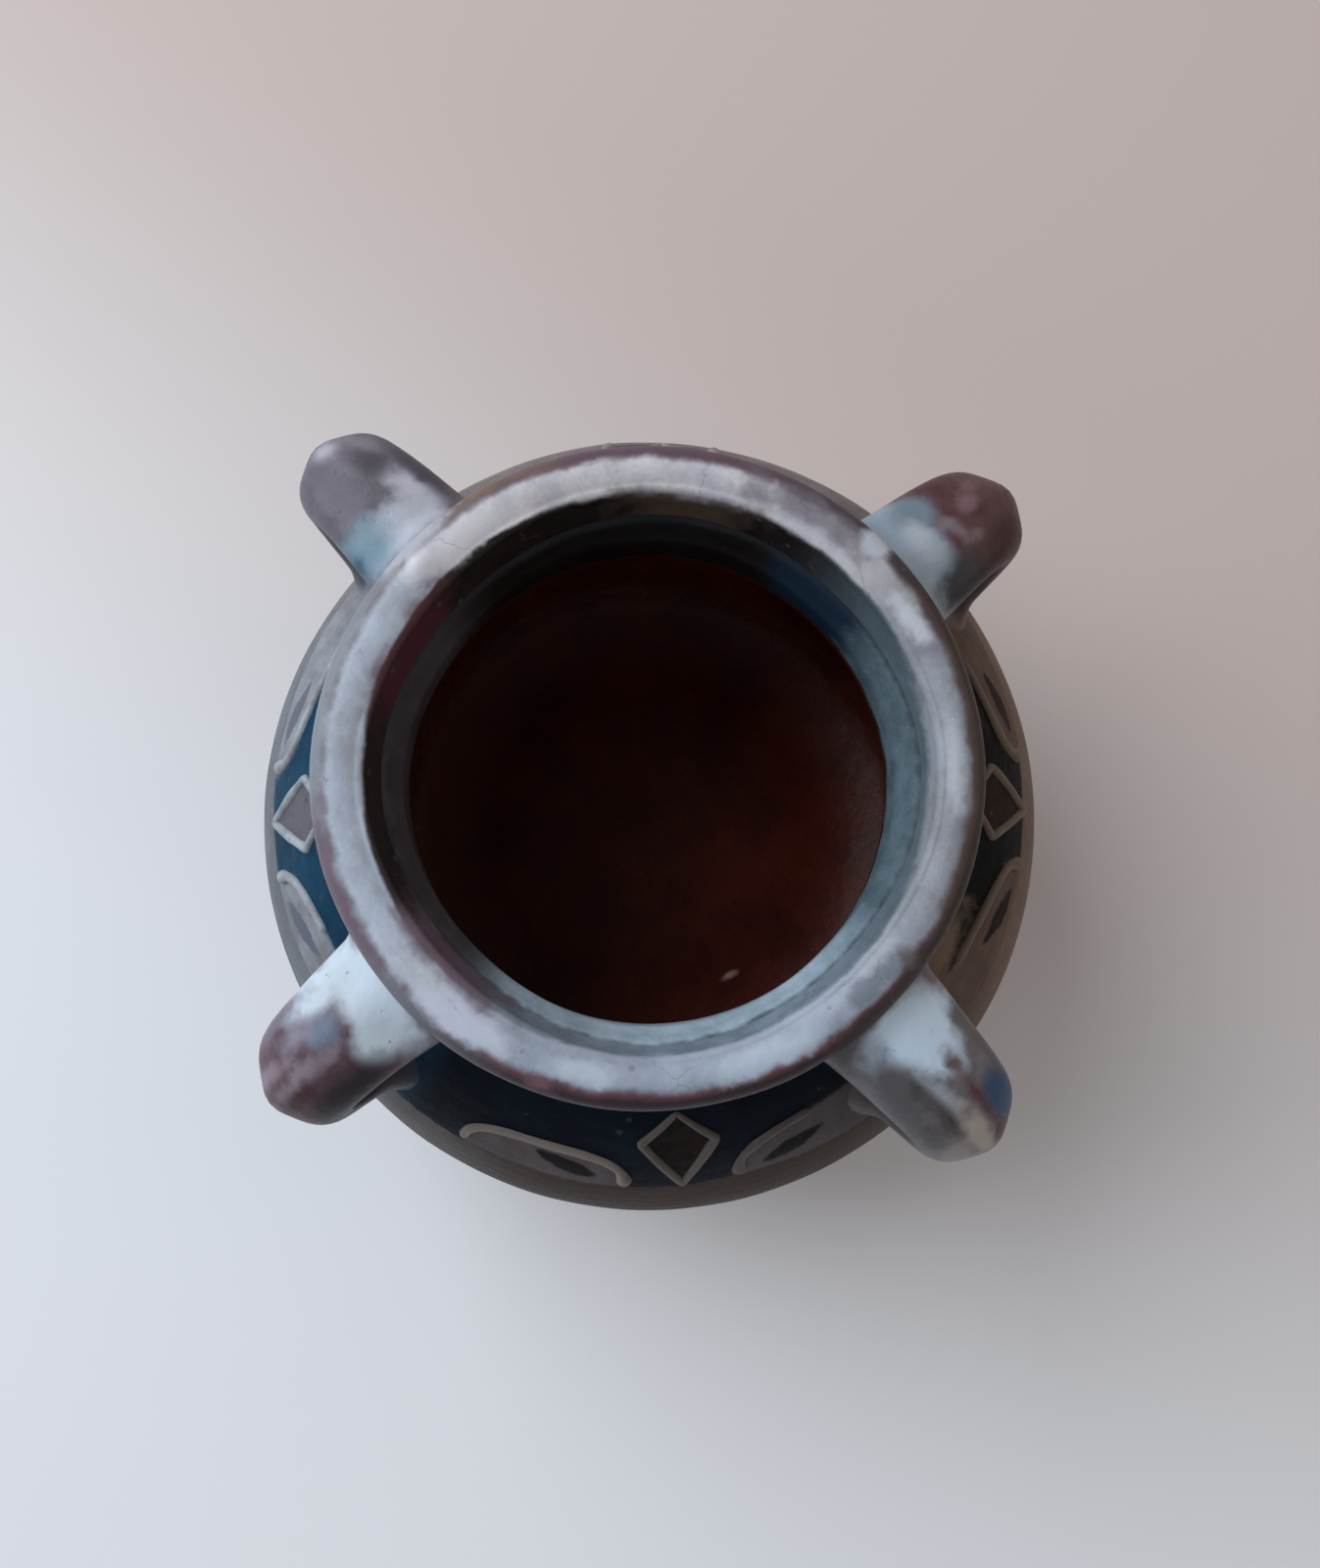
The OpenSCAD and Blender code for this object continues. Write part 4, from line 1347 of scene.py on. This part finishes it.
def lozengeLine(turn):
    f = friezeGlaze
    widest = f["topRadius"] + f["lozengeDrop"]
    halfTurn = math.asin(f["lozengeWidth"] / 2 / widest)
    corners = np.array([(turn, f["topRadius"]), (turn + halfTurn, widest),
                        (turn, f["footRadius"]), (turn - halfTurn, widest)])
    sides = [np.linspace(corners[i], corners[(i + 1) % 4], 12, endpoint=False) for i in range(4)]
    return onShoulder(*np.vstack(sides).T)


trail("slipArches", [archLine(place, side) for place in range(4) for side in (-1, 1)], False, "slip_arches")
trail("slipLozenges", [lozengeLine(turn) for turn in lozengeTurns], True, "slip_lozenges")
print("slip trailed")


# table, light and camera

stage = {
    "paper": (238, 242, 250),
    "paperFar": (202, 189, 186),    # painted shade: warmer and dimmer to the upper right, where the lamp's light falls off
    "paperWay": (0.5, 0.86, 0),     # right, up and above, the way that it changes
    "paperReach": (-0.09, 0.12),    # m along that way where the change begins and ends
    "paperRough": 0.85,
    "size": 4.0,                    # m
    "lamps": {                      # m right, up and above, size in m, power in W and colour
        "window": ((-0.68, 0.40, 0.64), 1.15, 10.2, (0.93, 0.97, 1.0)),
        "roomLight": ((0.6, 0.1, 0.35), 0.5, 0.5, (1.0, 0.86, 0.72)),
    },
    "roomCool": (0.90, 0.96, 1.0, 1),
    "roomWarm": (0.80, 0.70, 0.64, 1),
    "roomTurn": 0.7,                # share of the way right and left where it is all warm and all cool
    "roomSides": 0.5,
    "roomOverhead": 0.2,
    "roomReach": (0.55, 0.97),      # share of the way up where the sides end and the overhead begins
}


def addObject(name, data):
    thing = bpy.data.objects.new(name, data)
    bpy.context.scene.collection.objects.link(thing)
    return thing


def makeStage():
    mesh = bpy.data.meshes.new("table")
    half = stage["size"] / 2
    corners = [(-half, -half, 0), (half, -half, 0), (half, half, 0), (-half, half, 0)]
    mesh.from_pydata(corners, [], [(0, 1, 2, 3)])
    table = addObject("table", mesh)
    material = bpy.data.materials.new("paper")
    material.use_nodes = True
    t = Nodes(material.node_tree)
    shader = t.tree.nodes["Principled BSDF"]
    place = t.out("ShaderNodeTexCoord", None, "Object")
    toFar = tuple(photoSpot(*stage["paperWay"]).normalized())
    share = t.stretch(t.measure("DOT_PRODUCT", place, toFar), *stage["paperReach"])
    # painted shade across the paper, growing towards the upper right
    t.feed(shader.inputs["Base Color"], t.mixed(share, srgb(*stage["paper"]), srgb(*stage["paperFar"])))
    t.feed(shader.inputs["Roughness"], stage["paperRough"])
    mesh.materials.append(material)


def makeLights():
    s = stage
    middle = Vector((0, 0, topLevel * mm / 2))
    for name, (spot, size, power, color) in s["lamps"].items():
        data = bpy.data.lights.new(name, "AREA")
        data.shape = "DISK"
        data.size, data.energy, data.color = size, power, color
        lamp = addObject(name, data)
        lamp.location = photoSpot(*spot)
        lamp.rotation_mode = "QUATERNION"
        lamp.rotation_quaternion = (middle - photoSpot(*spot)).to_track_quat("-Z", "Y")
    world = bpy.data.worlds.new("room")
    world.use_nodes = True
    t = Nodes(world.node_tree)
    shader = t.tree.nodes["Background"]
    toward = t.out("ShaderNodeTexCoord", None, "Generated")
    leftward = t.measure("DOT_PRODUCT", toward, tuple(-photoRight))
    share = t.stretch(leftward, -s["roomTurn"], s["roomTurn"])
    t.feed(shader.inputs["Color"], t.mixed(share, s["roomWarm"], s["roomCool"]))
    strength = t.stretch(t.parts(toward)[2], *s["roomReach"], s["roomSides"], s["roomOverhead"])
    t.feed(shader.inputs["Strength"], strength)
    bpy.context.scene.world = world


camera = {
    "tilt": 9.7,                   # degrees from straight down
    "eye": (1.6, -31.4, 167.7),    # mm right, up and above the middle of the rim
    "lens": 31.5,
    "sensor": 36.0,
    "clipStart": 0.01,             # m
}


def makeCamera():
    tilt = math.radians(camera["tilt"])
    right, up, above = camera["eye"]
    eye = photoSpot(right, up, topLevel + above) * mm
    upward = photoSpot(0, math.cos(tilt), math.sin(tilt))
    backward = photoSpot(0, -math.sin(tilt), math.cos(tilt))
    data = bpy.data.cameras.new("camera")
    data.lens = camera["lens"]
    data.sensor_width = camera["sensor"]
    data.clip_start = camera["clipStart"]
    viewer = addObject("camera", data)
    rotation = Matrix((photoRight, upward, backward)).transposed()
    viewer.matrix_world = Matrix.Translation(eye) @ rotation.to_4x4()
    bpy.context.scene.camera = viewer


makeStage()
makeLights()
makeCamera()
bpy.context.scene.view_settings.view_transform = "Standard"
print("stage set")
